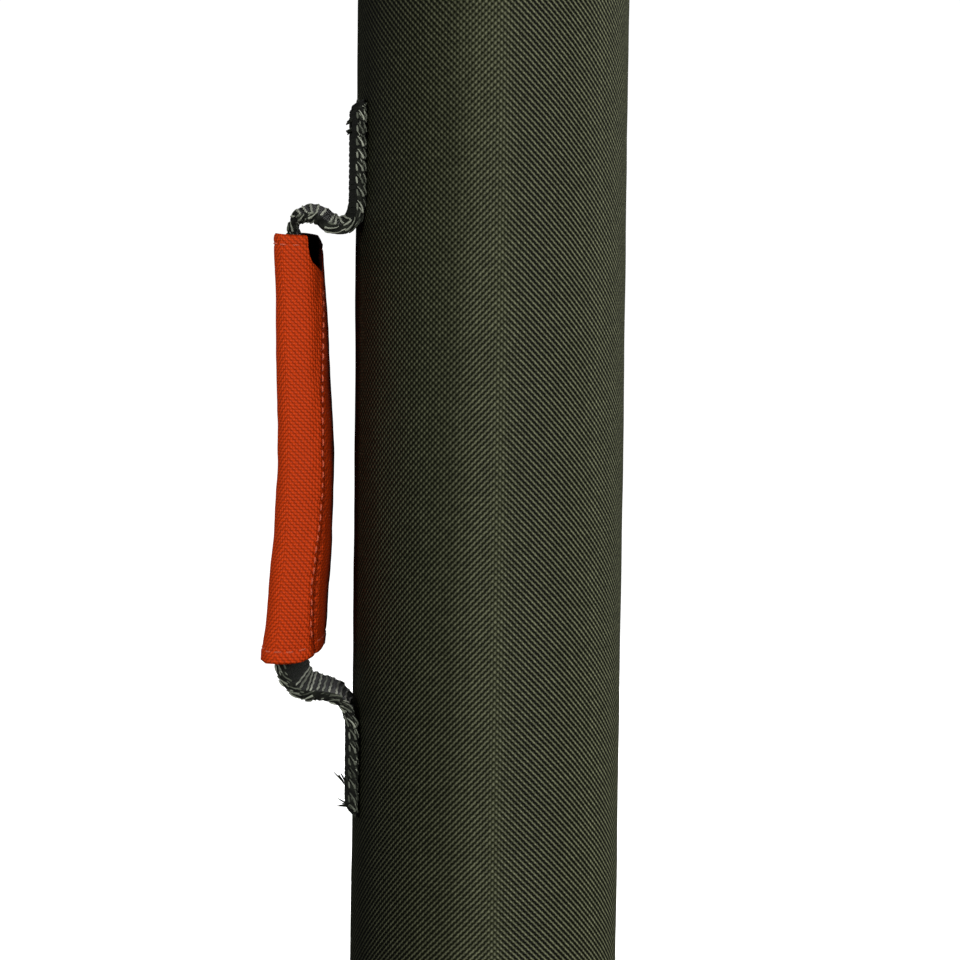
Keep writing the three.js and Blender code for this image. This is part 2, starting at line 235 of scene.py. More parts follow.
def stitches(buf, pts, normals, pitch=3.2, length=2.4, radius=0.24, lift=0.05, seed=1, skip=()):
    """Stitches along a polyline pts (mm) that lies on a surface with the given normals."""
    pts, normals = np.asarray(pts, float), np.asarray(normals, float)
    s = np.concatenate([[0], np.cumsum(np.linalg.norm(np.diff(pts, axis=0), axis=1))])
    r = np.random.default_rng(seed)
    count = int((s[-1] - length) / pitch) + 1
    start = (s[-1] - (count - 1) * pitch - length) / 2
    for i in range(count):
        if i in skip:
            continue
        a = start + i * pitch + r.normal(0, 0.05)
        b = a + length * r.uniform(0.93, 1.05)
        x = np.linspace(a, b, _ST_N)
        c = np.stack([np.interp(x, s, pts[:, k]) for k in range(3)], 1)
        nn = np.stack([np.interp(x, s, normals[:, k]) for k in range(3)], 1)
        nn /= np.linalg.norm(nn, axis=1)[:, None]
        t = frames(c)
        side = np.cross(t, nn)
        u = np.linspace(-1, 1, _ST_N)
        h = lift + radius * 0.75 - (np.abs(u) ** 3) * radius * 1.5
        c = c + nn * h[:, None] + side * r.normal(0, 0.05)
        rad = radius * np.sqrt(np.clip(1.06 - u**4, 0.02, 1))
        ang = np.linspace(0, 2 * PI, _ST_S, endpoint=False)
        P = c[:, None, :] + rad[:, None, None] * (side[:, None, :] * np.cos(ang)[None, :, None] + nn[:, None, :] * np.sin(ang)[None, :, None])
        UV = np.stack(np.meshgrid(x, np.linspace(0, 1.5, _ST_S + 1), indexing="ij"), -1)
        buf.grid(P, UV, wj=True, cap0=True, cap1=True, attr=np.ones(P.shape[:2]))
    return buf


# ------------------------------------------------------------------ material helpers
class G:
    """Small builder for a material's node tree."""

    def __init__(self, name):
        self.mat = bpy.data.materials.new(name)
        self.mat.use_nodes = True
        self.nt = self.mat.node_tree
        self.nt.nodes.clear()
        self.out = self.nt.nodes.new("ShaderNodeOutputMaterial")
        self.b = self.nt.nodes.new("ShaderNodeBsdfPrincipled")
        self.nt.links.new(self.b.outputs[0], self.out.inputs[0])

    def set(self, **kw):
        for k, v in kw.items():
            s = self.b.inputs[k.replace("_", " ")]
            if isinstance(v, bpy.types.NodeSocket):
                self.nt.links.new(v, s)
            else:
                s.default_value = v
        return self

    def put(self, sock, v):
        if isinstance(v, bpy.types.NodeSocket):
            self.nt.links.new(v, sock)
        else:
            sock.default_value = v

    def m(self, op, a, b=None, c=None, clamp=False):
        n = self.nt.nodes.new("ShaderNodeMath")
        n.operation = op
        n.use_clamp = clamp
        for i, v in enumerate((a, b, c)):
            if v is not None:
                self.put(n.inputs[i], v)
        return n.outputs[0]

    def add(self, a, b):
        return self.m("ADD", a, b)

    def sub(self, a, b):
        return self.m("SUBTRACT", a, b)

    def mul(self, a, b):
        return self.m("MULTIPLY", a, b)

    def uv(self):
        n = self.nt.nodes.new("ShaderNodeUVMap")
        n.uv_map = "Weave"
        s = self.nt.nodes.new("ShaderNodeSeparateXYZ")
        self.nt.links.new(n.outputs[0], s.inputs[0])
        return s.outputs[0], s.outputs[1]

    def obj(self):
        n = self.nt.nodes.new("ShaderNodeTexCoord")
        return n.outputs["Object"]

    def sep(self, v):
        s = self.nt.nodes.new("ShaderNodeSeparateXYZ")
        self.nt.links.new(v, s.inputs[0])
        return s.outputs

    def vec(self, x, y, z=0.0):
        n = self.nt.nodes.new("ShaderNodeCombineXYZ")
        for i, v in enumerate((x, y, z)):
            self.put(n.inputs[i], v)
        return n.outputs[0]

    def attr(self, name):
        n = self.nt.nodes.new("ShaderNodeAttribute")
        n.attribute_name = name
        return n.outputs["Fac"]

    def noise(self, vec, scale, detail=2.0, rough=0.5, dist=0.0):
        n = self.nt.nodes.new("ShaderNodeTexNoise")
        self.put(n.inputs["Vector"], vec)
        n.inputs["Scale"].default_value = scale
        n.inputs["Detail"].default_value = detail
        n.inputs["Roughness"].default_value = rough
        n.inputs["Distortion"].default_value = dist
        return n.outputs["Fac"]

    def white(self, w, dim="1D"):
        n = self.nt.nodes.new("ShaderNodeTexWhiteNoise")
        n.noise_dimensions = dim
        self.put(n.inputs["W"] if dim == "1D" else n.inputs["Vector"], w)
        return n.outputs["Value"]

    def remap(self, v, a, b, c, d, clamp=True):
        n = self.nt.nodes.new("ShaderNodeMapRange")
        n.clamp = clamp
        self.put(n.inputs["Value"], v)
        for k, x in zip(("From Min", "From Max", "To Min", "To Max"), (a, b, c, d)):
            self.put(n.inputs[k], x)
        return n.outputs[0]

    def mix(self, f, a, b, mode="MIX"):
        n = self.nt.nodes.new("ShaderNodeMix")
        n.data_type = "RGBA"
        n.blend_type = mode
        self.put(n.inputs[0], f)
        self.put(n.inputs[6], a if isinstance(a, bpy.types.NodeSocket) else (*a, 1))
        self.put(n.inputs[7], b if isinstance(b, bpy.types.NodeSocket) else (*b, 1))
        return n.outputs[2]

    def scale(self, col, k):
        """colour times a number"""
        n = self.nt.nodes.new("ShaderNodeVectorMath")
        n.operation = "SCALE"
        self.put(n.inputs[0], col if isinstance(col, bpy.types.NodeSocket) else tuple(col))
        self.put(n.inputs["Scale"], k)
        return n.outputs[0]

    def ramp(self, f, stops):
        n = self.nt.nodes.new("ShaderNodeValToRGB")
        e = n.color_ramp.elements
        while len(e) < len(stops):
            e.new(0.5)
        for el, (p, c) in zip(e, stops):
            el.position = p
            el.color = (*c, 1)
        self.put(n.inputs[0], f)
        return n.outputs[0]

    def bump(self, height, dist_mm, strength=1.0, normal=None):
        n = self.nt.nodes.new("ShaderNodeBump")
        n.inputs["Strength"].default_value = strength
        n.inputs["Distance"].default_value = dist_mm * MM
        self.put(n.inputs["Height"], height)
        if normal is not None:
            self.put(n.inputs["Normal"], normal)
        return n.outputs[0]


def lin(r, g, b):
    """sRGB 0..255 to linear."""
    def f(c):
        c /= 255
        return c / 12.92 if c <= 0.04045 else ((c + 0.055) / 1.055) ** 2.4
    return (f(r), f(g), f(b))


def plain_weave(g, U, V, pu, pv, skew=0.0, wander=0.10, crown=0.62, flank=1.0):
    """Height 0..1 of a plain weave with pitch pu across and pv along (mm), a value per thread, and which of the two
    threads lies on top.
    """
    co = g.vec(U, V)
    wn = g.noise(co, 0.22, 2.0)
    wn2 = g.noise(g.vec(V, U), 0.19, 2.0)
    u = g.add(g.m("DIVIDE", U, pu), g.mul(g.sub(wn, 0.5), wander * 4))
    v = g.add(g.m("DIVIDE", g.add(V, g.mul(U, skew)), pv), g.mul(g.sub(wn2, 0.5), wander * 4))
    cu, cv = g.m("FLOOR", u), g.m("FLOOR", v)
    fu, fv = g.sub(g.sub(u, cu), 0.5), g.sub(g.sub(v, cv), 0.5)
    par = g.m("FLOORED_MODULO", g.add(cu, cv), 2.0)

    def across(f):
        return g.m("POWER", g.m("MAXIMUM", g.m("COSINE", g.mul(f, PI * 0.98)), 0.0), 0.85)

    def along(f):
        return g.add(1 - crown, g.mul(g.m("COSINE", g.mul(f, PI)), crown))

    warp = g.mul(across(fu), along(fv))
    weft = g.mul(across(fv), along(fu))
    h = g.add(g.mul(warp, g.sub(1.0, par)), g.mul(weft, par))
    # painted light on the threads' flanks: the upper side and the side chosen by the last argument (-1 left, 1 right)
    # are painted brighter and the opposite sides darker, which joins neighbouring crossings into slanting lines
    a1 = g.mul(g.m("SINE", g.mul(u, PI)), g.m("COSINE", g.mul(v, PI)))
    a2 = g.mul(g.m("COSINE", g.mul(u, PI)), g.m("SINE", g.mul(v, PI)))
    g.slant = g.sub(a1, g.mul(a2, flank))
    g.flank = flank
    g.cell = g.white(g.add(cu, g.mul(cv, 131.7)))
    tid = g.add(g.mul(g.white(cu), g.sub(1.0, par)), g.mul(g.white(g.add(cv, 977.0)), par))
    return h, tid, par


def cloth(name, base, pu=0.82, pv=0.82, skew=0.0, depth=0.2, painted_valley_shade=0.5, vary=0.16, sheen=0.25, rough=0.82,
          weft_tint=None, blotch=0.12, spec=0.25, gain=1.0, power=1.0, slant=0.0, flank=None, wander=0.10, painted_tone=None, slant_gain=None, cell=0.0, painted_sheen=None):
    g = G(name)
    U, V = g.uv()
    h, tid, par = plain_weave(g, U, V, pu, pv, skew, wander, flank=flank(g, U, V) if flank else 1.0)
    co = g.vec(U, V)
    big = g.noise(co, 0.018, 3.0, 0.6)
    fib = g.noise(g.vec(g.mul(U, 1.0), g.mul(V, 1.0)), 9.0, 3.0, 0.7)
    # painted shade in the hollows between the threads: darker there, lighter on the crests
    k = g.add(painted_valley_shade, g.mul(g.m("POWER", h, power), gain - painted_valley_shade))
    k = g.mul(k, g.add(1 - vary / 2, g.mul(tid, vary)))
    k = g.mul(k, g.add(1 - blotch / 2, g.mul(big, blotch)))
    k = g.mul(k, g.add(0.9, g.mul(fib, 0.2)))
    # painted light: the threads' flanks are made brighter on one side and darker on the other, as if lit from that side
    if slant:
        amount = g.mul(slant_gain(g, U, V), slant) if slant_gain else slant
        x = g.mul(g.slant, amount)
        if slant_gain:  # the same mean tone whatever the contrast
            spread = g.mul(g.mul(amount, amount), g.add(g.mul(g.mul(g.flank, g.flank), 0.106), 0.106))
            x = g.add(g.sub(x, spread), 0.40)
        k = g.mul(k, g.m("EXPONENT", x))
    if cell:
        k = g.mul(k, g.add(1 - cell / 2, g.mul(g.cell, cell)))
    # painted light over the whole cloth: a brightness set by place
    if painted_tone:
        k = g.mul(k, painted_tone(g, U, V))
    col = g.scale(base, k)
    # painted sheen: where the painted brightness is highest, the colour turns towards a paler, greyer one
    if painted_sheen:
        col = g.mix(g.remap(k, 0.5, 1.7, 0, 1), col, g.scale(painted_sheen, k))
    if weft_tint:
        col = g.mix(par, col, g.scale(weft_tint, k))
    hh = g.add(h, g.mul(fib, 0.10))
    g.set(Base_Color=col, Roughness=g.remap(h, 0, 1, min(1.0, rough + 0.12), rough - 0.06), Normal=g.bump(hh, depth))
    g.b.inputs["Specular IOR Level"].default_value = spec
    g.b.inputs["Sheen Weight"].default_value = sheen
    g.b.inputs["Sheen Roughness"].default_value = 0.45
    g.b.inputs["Sheen Tint"].default_value = (0.85, 0.88, 0.78, 1)
    return g.mat


def cover_flank(g, U, V):
    """Painted light: right of the middle of the front the threads' left flanks are painted lit, left of it their right
    ones, higher up their left ones again.
    """
    right = g.remap(U, 175.0, 179.3, 0, 1)
    left = g.remap(V, 330, 540, 0.75, -0.75)
    near = g.remap(U, 163, 170, 0, 1)
    left = g.add(g.mul(left, g.sub(1.0, near)), g.mul(near, g.remap(V, 410, 525, 0.85, 0.05)))
    return g.add(g.mul(left, g.sub(1.0, right)), g.mul(g.remap(U, 194.0, 207.0, -0.92, -0.68), right))


def cover_painted_light(g, U, V):
    """Painted light: the cloth is painted a little lighter along the middle of the front and towards the right, as if
    lit from the front right.
    """
    a = g.remap(U, 164.5, 171.0, 0.69, 0.97)
    a = g.mul(a, g.remap(U, 183.5, 188.5, 1.0, 1.05))
    return g.mul(a, g.remap(U, 201.0, 207.0, 1.0, 1.10))


# painted light on the sleeve's threads: the painted lit flank changes side across the front
def sleeve_flank(g, U, V):
    return g.remap(U, 3.3, 4.3, 1, -1)


# the cover's cloth carries painted light: painted lit flanks on its threads, a painted lighter middle and right side,
# and a paler painted sheen where brightest
M_COVER = cloth("olive_weave_painted_light", lin(69, 73, 48), skew=-0.0244, depth=0.15, painted_valley_shade=0.50, gain=1.0, power=0.9, sheen=0.0, rough=0.52, spec=0.14, slant=1.4, flank=cover_flank, wander=0.07, painted_tone=cover_painted_light, slant_gain=lambda g, U, V: g.add(g.remap(U, 140, 166, 1.7, 1.15), g.remap(U, 178, 186, 0.0, 0.55)),
                cell=0.5, painted_sheen=lin(70, 72, 54))
# the sleeve's cloth carries painted light on its threads' flanks
M_SLEEVE = cloth("orange_weave_painted_light", lin(194, 58, 6), skew=0.0, depth=0.18, painted_valley_shade=0.80, gain=1.05, sheen=0.0, spec=0.12, vary=0.08, rough=0.55, slant=0.27, flank=sleeve_flank, wander=0.06)
# dark inside colour: a darker backing, and painted shade where it shows on the cut edges and through the notch at the
# top
M_SLEEVE_INSIDE_SHADE = cloth("sleeve_backing_and_painted_shade", lin(58, 16, 9), depth=0.10, painted_valley_shade=0.7, sheen=0.0, vary=0.08, rough=0.8, spec=0.1)


def webbing_mat():
    g = G("webbing_yarn")
    U, V = g.uv()
    y = g.attr("yarn")
    co = g.vec(U, V)
    n1 = g.noise(co, 1.1, 3.0, 0.7)
    n2 = g.noise(g.vec(g.mul(U, 2.2), g.mul(V, 5.0)), 1.6, 2.0, 0.6)
    # the yarn value carries the light yarns' own brightness, and on the body painted shade in the hollows of its relief
    f = g.add(g.mul(y, 0.86), g.mul(g.sub(n1, 0.5), 0.42))
    f = g.m("ADD", f, g.mul(g.sub(n2, 0.5), 0.25), clamp=True)
    col = g.ramp(f, [(0.0, lin(14, 15, 12)), (0.30, lin(44, 47, 39)), (0.55, lin(88, 92, 80)), (0.80, lin(150, 154, 138)), (1.0, lin(196, 199, 182))])
    h = g.add(g.mul(n2, 0.6), g.mul(n1, 0.4))
    g.set(Base_Color=col, Roughness=g.remap(n1, 0, 1, 0.95, 0.75), Normal=g.bump(h, 0.18))
    g.b.inputs["Specular IOR Level"].default_value = 0.12
    g.b.inputs["Sheen Weight"].default_value = 0.03
    g.b.inputs["Sheen Roughness"].default_value = 0.5
    return g.mat


M_WEB = webbing_mat()


def thread_mat(name, a, b):
    g = G(name)
    U, V = g.uv()
    tw = g.m("SINE", g.add(g.mul(U, 9.0), g.mul(V, 7.0)))
    n = g.noise(g.vec(U, V), 2.0, 2.0)
    f = g.add(g.mul(tw, 0.25), n)
    g.set(Base_Color=g.mix(g.remap(f, 0.2, 0.9, 0, 1), a, b), Roughness=0.7, Normal=g.bump(tw, 0.05))
    g.b.inputs["Sheen Weight"].default_value = 0.2
    return g.mat


M_THREAD_OLIVE = thread_mat("thread_olive", lin(60, 62, 50), lin(98, 100, 84))
M_THREAD_ORANGE = thread_mat("thread_orange", lin(196, 72, 32), lin(218, 98, 56))

# ------------------------------------------------------------------ camera, floor, light
cam_data = bpy.data.cameras.new("camera")
cam = bpy.data.objects.new("camera", cam_data)
SC.collection.objects.link(cam)
SC.camera = cam
F_PX = 2176.0
cam_data.sensor_width = 36.0
cam_data.lens = 36.0 * F_PX / 960.0
cam_data.clip_start, cam_data.clip_end = 0.01, 50
CAM = Vector((-2.3, -600.0, 427.8)) * MM
PITCH, ROLL = math.radians(3.3), math.radians(0.62)
direction = Vector((0, math.cos(PITCH), -math.sin(PITCH)))
cam.rotation_mode = "QUATERNION"
cam.location = CAM
cam.rotation_quaternion = direction.to_track_quat("-Z", "Y") @ Matrix.Rotation(ROLL, 3, "Z").to_quaternion()

floor_mesh = bpy.data.meshes.new("floor")
floor_mesh.from_pydata([(-12, -12, 0), (12, -12, 0), (12, 12, 0), (-12, 12, 0)], [], [(0, 1, 2, 3)])
floor = bpy.data.objects.new("floor", floor_mesh)
SC.collection.objects.link(floor)
gf = G("floor_paint")
nf = gf.noise(gf.obj(), 3.0, 3.0)
gf.set(Base_Color=gf.mix(nf, (0.90, 0.90, 0.90), (0.94, 0.94, 0.94)), Roughness=0.9)
gf.b.inputs["Specular IOR Level"].default_value = 0.1
floor_mesh.materials.append(gf.mat)

world = bpy.data.worlds.new("studio")
SC.world = world
world.use_nodes = True
wn = world.node_tree
wn.nodes.clear()
w_out = wn.nodes.new("ShaderNodeOutputWorld")
w_bg = wn.nodes.new("ShaderNodeBackground")
w_cam = wn.nodes.new("ShaderNodeBackground")
w_mix = wn.nodes.new("ShaderNodeMixShader")
w_lp = wn.nodes.new("ShaderNodeLightPath")
w_bg.inputs[0].default_value = (1, 1, 1, 1)
w_bg.inputs[1].default_value = 0.02
w_cam.inputs[0].default_value = (1, 1, 1, 1)
w_cam.inputs[1].default_value = 1.05
wn.links.new(w_lp.outputs["Is Camera Ray"], w_mix.inputs[0])
wn.links.new(w_bg.outputs[0], w_mix.inputs[1])
wn.links.new(w_cam.outputs[0], w_mix.inputs[2])
wn.links.new(w_mix.outputs[0], w_out.inputs[0])
SC.view_settings.view_transform = "Standard"
SC.view_settings.look = "None"


def area(name, loc, target, size, power, color=(1, 1, 1), size_y=None):
    d = bpy.data.lights.new(name, "AREA")
    d.energy, d.color, d.size = power, color, size
    if size_y:
        d.shape, d.size_y = "RECTANGLE", size_y
    o = bpy.data.objects.new(name, d)
    SC.collection.objects.link(o)
    o.location = Vector(loc)
    o.rotation_euler = (Vector(target) - Vector(loc)).to_track_quat("-Z", "Y").to_euler()
    o.visible_camera = False
    return o


def polar(az, el, dist, z=0.42):
    """A place az degrees to the right of the front, el degrees up, seen from the middle of the handle."""
    a, e = math.radians(az), math.radians(el)
    return (dist * math.sin(a) * math.cos(e), -dist * math.cos(a) * math.cos(e), z + dist * math.sin(e))


MID = (0, 0, 0.42)
key_lamp = area("key", polar(29, 11, 2.0), MID, 0.40, 31, size_y=0.7)
rim_lamp = area("rim_right", polar(125, 10, 1.8), MID, 0.5, 2.6, size_y=1.2)
area("rim_left", polar(-118, 8, 1.8), MID, 0.5, 0.7, size_y=1.2)
top = bpy.data.lights.new("top", "SUN")
top.energy, top.angle = 4.0, math.radians(28)
top_ob = bpy.data.objects.new("top", top)
SC.collection.objects.link(top_ob)
top_ob.rotation_euler = (math.radians(-14), math.radians(-8), 0)
on_floor = bpy.data.collections.new("lit_by_top_lamp")
on_floor.objects.link(floor)
top_ob.light_linking.receiver_collection = on_floor
area("overhead", (0.6, 0.5, 2.2), (0, 0, 0.79), 0.6, 8)
back_lamp = area("back", polar(178, 14, 2.2), MID, 0.6, 16, size_y=1.0)
floor.visible_diffuse = False
floor.visible_glossy = False
floor.visible_shadow = False

# ------------------------------------------------------------------ cover of the tube
# angle is measured from +X; the seam is at +Y (90 degrees)
cover_wave = ring_waves(3, 26, 7, 40, 260)
cover_fine = ring_waves(5, 30, 22, 14, 60)


def cover_offset(A, R, Z):
    """Unevenness of the cloth over the rigid tube, the back seam and two small marks."""
    outer = R > R_COVER - 0.35
    arc = ((A - PI / 2 + PI) % (2 * PI) - PI) * R_COVER
    d = 0.10 * cover_wave(A, Z) + 0.035 * cover_fine(A, Z)
    d = d * smoothstep(Z, COVER_Z[0], COVER_Z[0] + 8) * (1 - smoothstep(Z, COVER_Z[1] - 8, COVER_Z[1]))
    # small press mark and a soft crease on the front
    al = ((A + PI / 2 + PI) % (2 * PI) - PI) * R_COVER
    d -= 0.38 * np.exp(-(((al + 5.8) / 1.5) ** 2 + ((Z - 463.7) / 2.2) ** 2))
    t = np.clip((Z - 296) / 24, 0, 1)
    line = 33.2 - 5.0 * t
    d -= 0.16 * np.exp(-(((al - line) / 1.3) ** 2)) * smoothstep(Z, 294, 300) * (1 - smoothstep(Z, 316, 324))
    # lapped seam down the back
    seam = smoothstep(-np.abs(arc), -6.2, -5.2)
    groove = np.exp(-(((np.abs(arc) - 3.9) / 0.55) ** 2))
    d += seam * 0.75 - groove * 0.22
    return np.where(outer, d, 0)


def theta_list(n, extra_at=None, extra_half=8.5, extra_n=34):
    a = np.linspace(0, 2 * PI, n, endpoint=False)
    if extra_at is not None:
        h = extra_half / R_COVER
        a = a[np.abs((a - extra_at + PI) % (2 * PI) - PI) > h * 1.02]
        a = np.sort(np.concatenate([a, np.linspace(extra_at - h, extra_at + h, extra_n)]))
    return a


def shell_profile(z0, z1, r0, r1, n_out, n_in=8, lip=0.3):
    out = [(r1 - lip, z0), (r1 - 0.09, z0 + 0.1)]
    out += [(r1, z) for z in np.linspace(z0 + lip, z1 - lip, n_out)]
    out += [(r1 - 0.09, z1 - 0.1), (r1 - lip, z1)]
    out += [(r0, z) for z in np.linspace(z1, z0, n_in)]
    return out


b = Buf()
lathe_buf(b, theta_list(210, PI / 2), shell_profile(COVER_Z[0], COVER_Z[1], R_COVER - 0.88, R_COVER, 372), cover_offset, uv_r=0.82 * 284 / (2 * PI))
cover = b.object("cover_cloth", M_COVER)
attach(cover, "tube")
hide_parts("cover_body")

# two rows of stitches on the seam
b = Buf()
for side in (-1, 1):
    zz = np.linspace(COVER_Z[0] + 5, COVER_Z[1] - 5, 500)
    an = PI / 2 + side * 3.9 / R_COVER
    rr = R_COVER + cover_offset(np.full_like(zz, an), np.full_like(zz, R_COVER), zz)
    pts = np.stack([rr * math.cos(an), rr * math.sin(an), zz], 1)
    nn = np.tile([math.cos(an), math.sin(an), 0], (len(zz), 1))
    stitches(b, pts, nn, seed=11 + side)
seam_st = b.object("cover_seam_stitches", M_THREAD_OLIVE)
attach(seam_st, "tube")

# ------------------------------------------------------------------ webbing
W_HALF, T_HALF = 12.5, 1.4
R_STRAP = R_COVER + 0.05 + T_HALF  # centre of the sewn webbing
UP_SHIFT, LOW_SHIFT = math.radians(7.6), math.radians(3.9)  # the sewn ends sit a little to the front of -X

RIB = 1.55
# centreline in the plane y = 0: x, z, y shift, roll (degrees, far edge up), cross curvature 0..1
KEYS = [
    (-R_STRAP, 495.8, 0, 0, 1), (-R_STRAP, 489.0, 0, 0, 1), (-R_STRAP, 480.0, 0, 0, 1), (-R_STRAP, 473.0, 0, 0, 1), (-R_STRAP, 468.8, 0, 1, 1),
    (-38.9, 465.8, 0, 6, 0.9), (-40.2, 464.1, 0, 9, 0.65), (-42.2, 463.3, 0, 10, 0.35), (-44.3, 463.8, 0, 10, 0.12), (-46.3, 465.0, 0, 10, 0), (-48.7, 465.7, 0, 10, 0),
    (-51.9, 465.0, 0, 8, 0), (-53.8, 463.0, 0, 4, 0), (-53.8, 460.0, 0, 0, 0),
    (-52.9, 450.0, 0, 0, 0), (-50.9, 425.0, 0, 0, 0), (-50.0, 400.0, 0, 0, 0), (-50.9, 375.0, 0, 0, 0), (-53.2, 352.0, 0, -2, 0),
    (-54.1, 342.9, 0, -10.5, 0), (-52.7, 338.8, 0, -9.5, 0), (-50.0, 336.0, 0, -6, 0), (-45.9, 335.1, 0, -3, 0.1), (-42.2, 333.7, 0, -1, 0.4), (-39.8, 331.2, 0, 0, 0.75),
    (-R_STRAP - 0.15, 327.0, 0, 0, 1), (-R_STRAP, 321.0, 0, 0, 1), (-R_STRAP, 311.0, 0, 0, 1), (-R_STRAP, 300.9, 0, 0, 1),
]
keys = np.array(KEYS, float)
# where along the keys the y shift goes from one sewn end's to the other's is set by height
dense, L_WEB = catmull(keys[:, :2], 2400)
s_dense = np.linspace(0, L_WEB, len(dense))
# arc length of each key
s_keys = np.array([s_dense[np.argmin(np.linalg.norm(dense - k[:2], axis=1))] for k in keys])
s_keys = np.maximum.accumulate(s_keys)
roll_d = np.interp(s_dense, s_keys, keys[:, 3])
curv_d = np.interp(s_dense, s_keys, keys[:, 4])
ker = np.hanning(61)
ker /= ker.sum()


def soft(a, k=ker):
    p = len(k) // 2
    return np.convolve(np.pad(a, p, mode="edge"), k, "valid")


roll_d, curv_d = soft(roll_d), soft(curv_d)
shift_d = soft(np.interp(dense[:, 1], [300, 327, 340, 461, 468, 500], [LOW_SHIFT, LOW_SHIFT, 0, 0, UP_SHIFT, UP_SHIFT]), np.hanning(121) / np.hanning(121).sum())


def web_section():
    """Round the section: across w, through n (mm), and the kind of place: 0 outer face, 1 edge, 2 inner face; e is the place on the edge."""
    a = W_HALF - T_HALF
    w, n, kind, e = [], [], [], []
    for x in np.linspace(-a, a, 46):
        w.append(x); n.append(T_HALF); kind.append(0); e.append(0)
    for t in np.linspace(PI / 2, -PI / 2, 13)[1:-1]:
        w.append(a + T_HALF * math.cos(t)); n.append(T_HALF * math.sin(t)); kind.append(1); e.append(t / (PI / 2))
    for x in np.linspace(a, -a, 46):
        w.append(x); n.append(-T_HALF); kind.append(2); e.append(0)
    for t in np.linspace(-PI / 2, PI / 2, 13)[1:-1]:
        w.append(-a - T_HALF * math.cos(t)); n.append(T_HALF * math.sin(t)); kind.append(1); e.append(t / (PI / 2))
    return map(np.array, (w, n, kind, e))


SEC_W, SEC_N, SEC_K, SEC_E = web_section()
_wob = waves(21, 14, 5, 24)
_wob2 = waves(22, 16, 1.5, 5)


def web_height(S, Wd, K, E, Nn):
    """Yarn relief of the webbing, 0..1: cross ribs on the faces, looped chevrons on the edges."""
    wob = 0.16 * _wob(S, Wd * 1.6 + K * 31) + 0.05 * _wob2(S, Wd + K * 17)
    ph = (S + wob + 0.10 * np.sin(Wd * 1.1 + K)) / RIB
    rib = np.abs(np.cos(PI * ph)) ** 1.3
    rib = 1 - (1 - rib) ** 1.6
    # warps are raised in turn over the ribs, as a wide plain weave
    wp = np.floor(Wd / 1.9)
    fw = Wd / 1.9 - wp - 0.5
    over = np.where((np.floor(ph + 0.5) + wp) % 2 == 0, 1.0, 0.55)
    face = rib * (0.62 + 0.38 * over) * (0.86 + 0.14 * np.cos(2 * PI * fw))
    # edge: two columns of loops that lean towards the middle, one loop for two ribs
    pe = (S + wob) / (2 * RIB)
    ch = pe + 0.34 * np.abs(E) + 0.25 * (E > 0)
    loop = np.clip(np.cos(2 * PI * ch) * 0.75 + 0.35, 0, 1) ** 0.8
    col = 1 - 0.75 * np.exp(-((E / 0.16) ** 2))
    edge = loop * col
    blend_e = np.where(K == 1, smoothstep(1 - np.abs(E), 0.0, 0.35), smoothstep(np.abs(Wd), W_HALF - T_HALF - 1.1, W_HALF - T_HALF) * 0.55)
    return face * (1 - blend_e) + edge * blend_e


_tx = np.gradient(dense[:, 0], s_dense)
_tz = np.gradient(dense[:, 1], s_dense)
_tl = np.hypot(_tx, _tz)
_tx, _tz = _tx / _tl, _tz / _tl


def web_map(S, W_, N_):
    """A place along the webbing, across it and off its middle, all in mm, to a point."""
    S, W_, N_ = np.broadcast_arrays(np.asarray(S, float), np.asarray(W_, float), np.asarray(N_, float))
    at = lambda arr: np.interp(S, s_dense, arr)
    cx, cz, tx, tz = at(dense[:, 0]), at(dense[:, 1]), at(_tx), at(_tz)
    nx, nz = tz, -tx
    roll = np.radians(at(roll_d))
    k = np.maximum(at(curv_d) / R_STRAP, 1e-5)
    lat = np.sin(k * W_) * (1 / k + N_)
    dep = (1 - np.cos(k * W_)) * (1 / k + N_) - N_ - lat * np.sin(roll)
    lat = lat * np.cos(roll)
    X = cx - nx * dep
    Z = cz - nz * dep
    # cut ends: the outer side is shorter
    side_ = 0.5 + N_ / (2 * T_HALF)
    Z = Z - 2.2 * side_ * (1 - smoothstep(S, 0, 4)) + 3.0 * side_ * (1 - smoothstep(L_WEB - S, 0, 5))
    turn = at(shift_d)
    ct, st = np.cos(turn), np.sin(turn)
    return np.stack([X * ct - lat * st, X * st + lat * ct, Z], -1)


def yarn_line(buf, S, W_, N_, rad_, attr, sides=6):
    pts = web_map(S, W_, N_)
    r_ = np.interp(np.linspace(0, 1, len(pts)), np.linspace(0, 1, len(rad_)), rad_)
    tube_along(buf, pts, r_, sides=sides, attr=attr)


def edge_w(n, lift):
    """Place across the webbing of the rounded edge at depth n."""
    return W_HALF - T_HALF + math.sqrt(max(T_HALF**2 - n * n, 0.02)) + lift


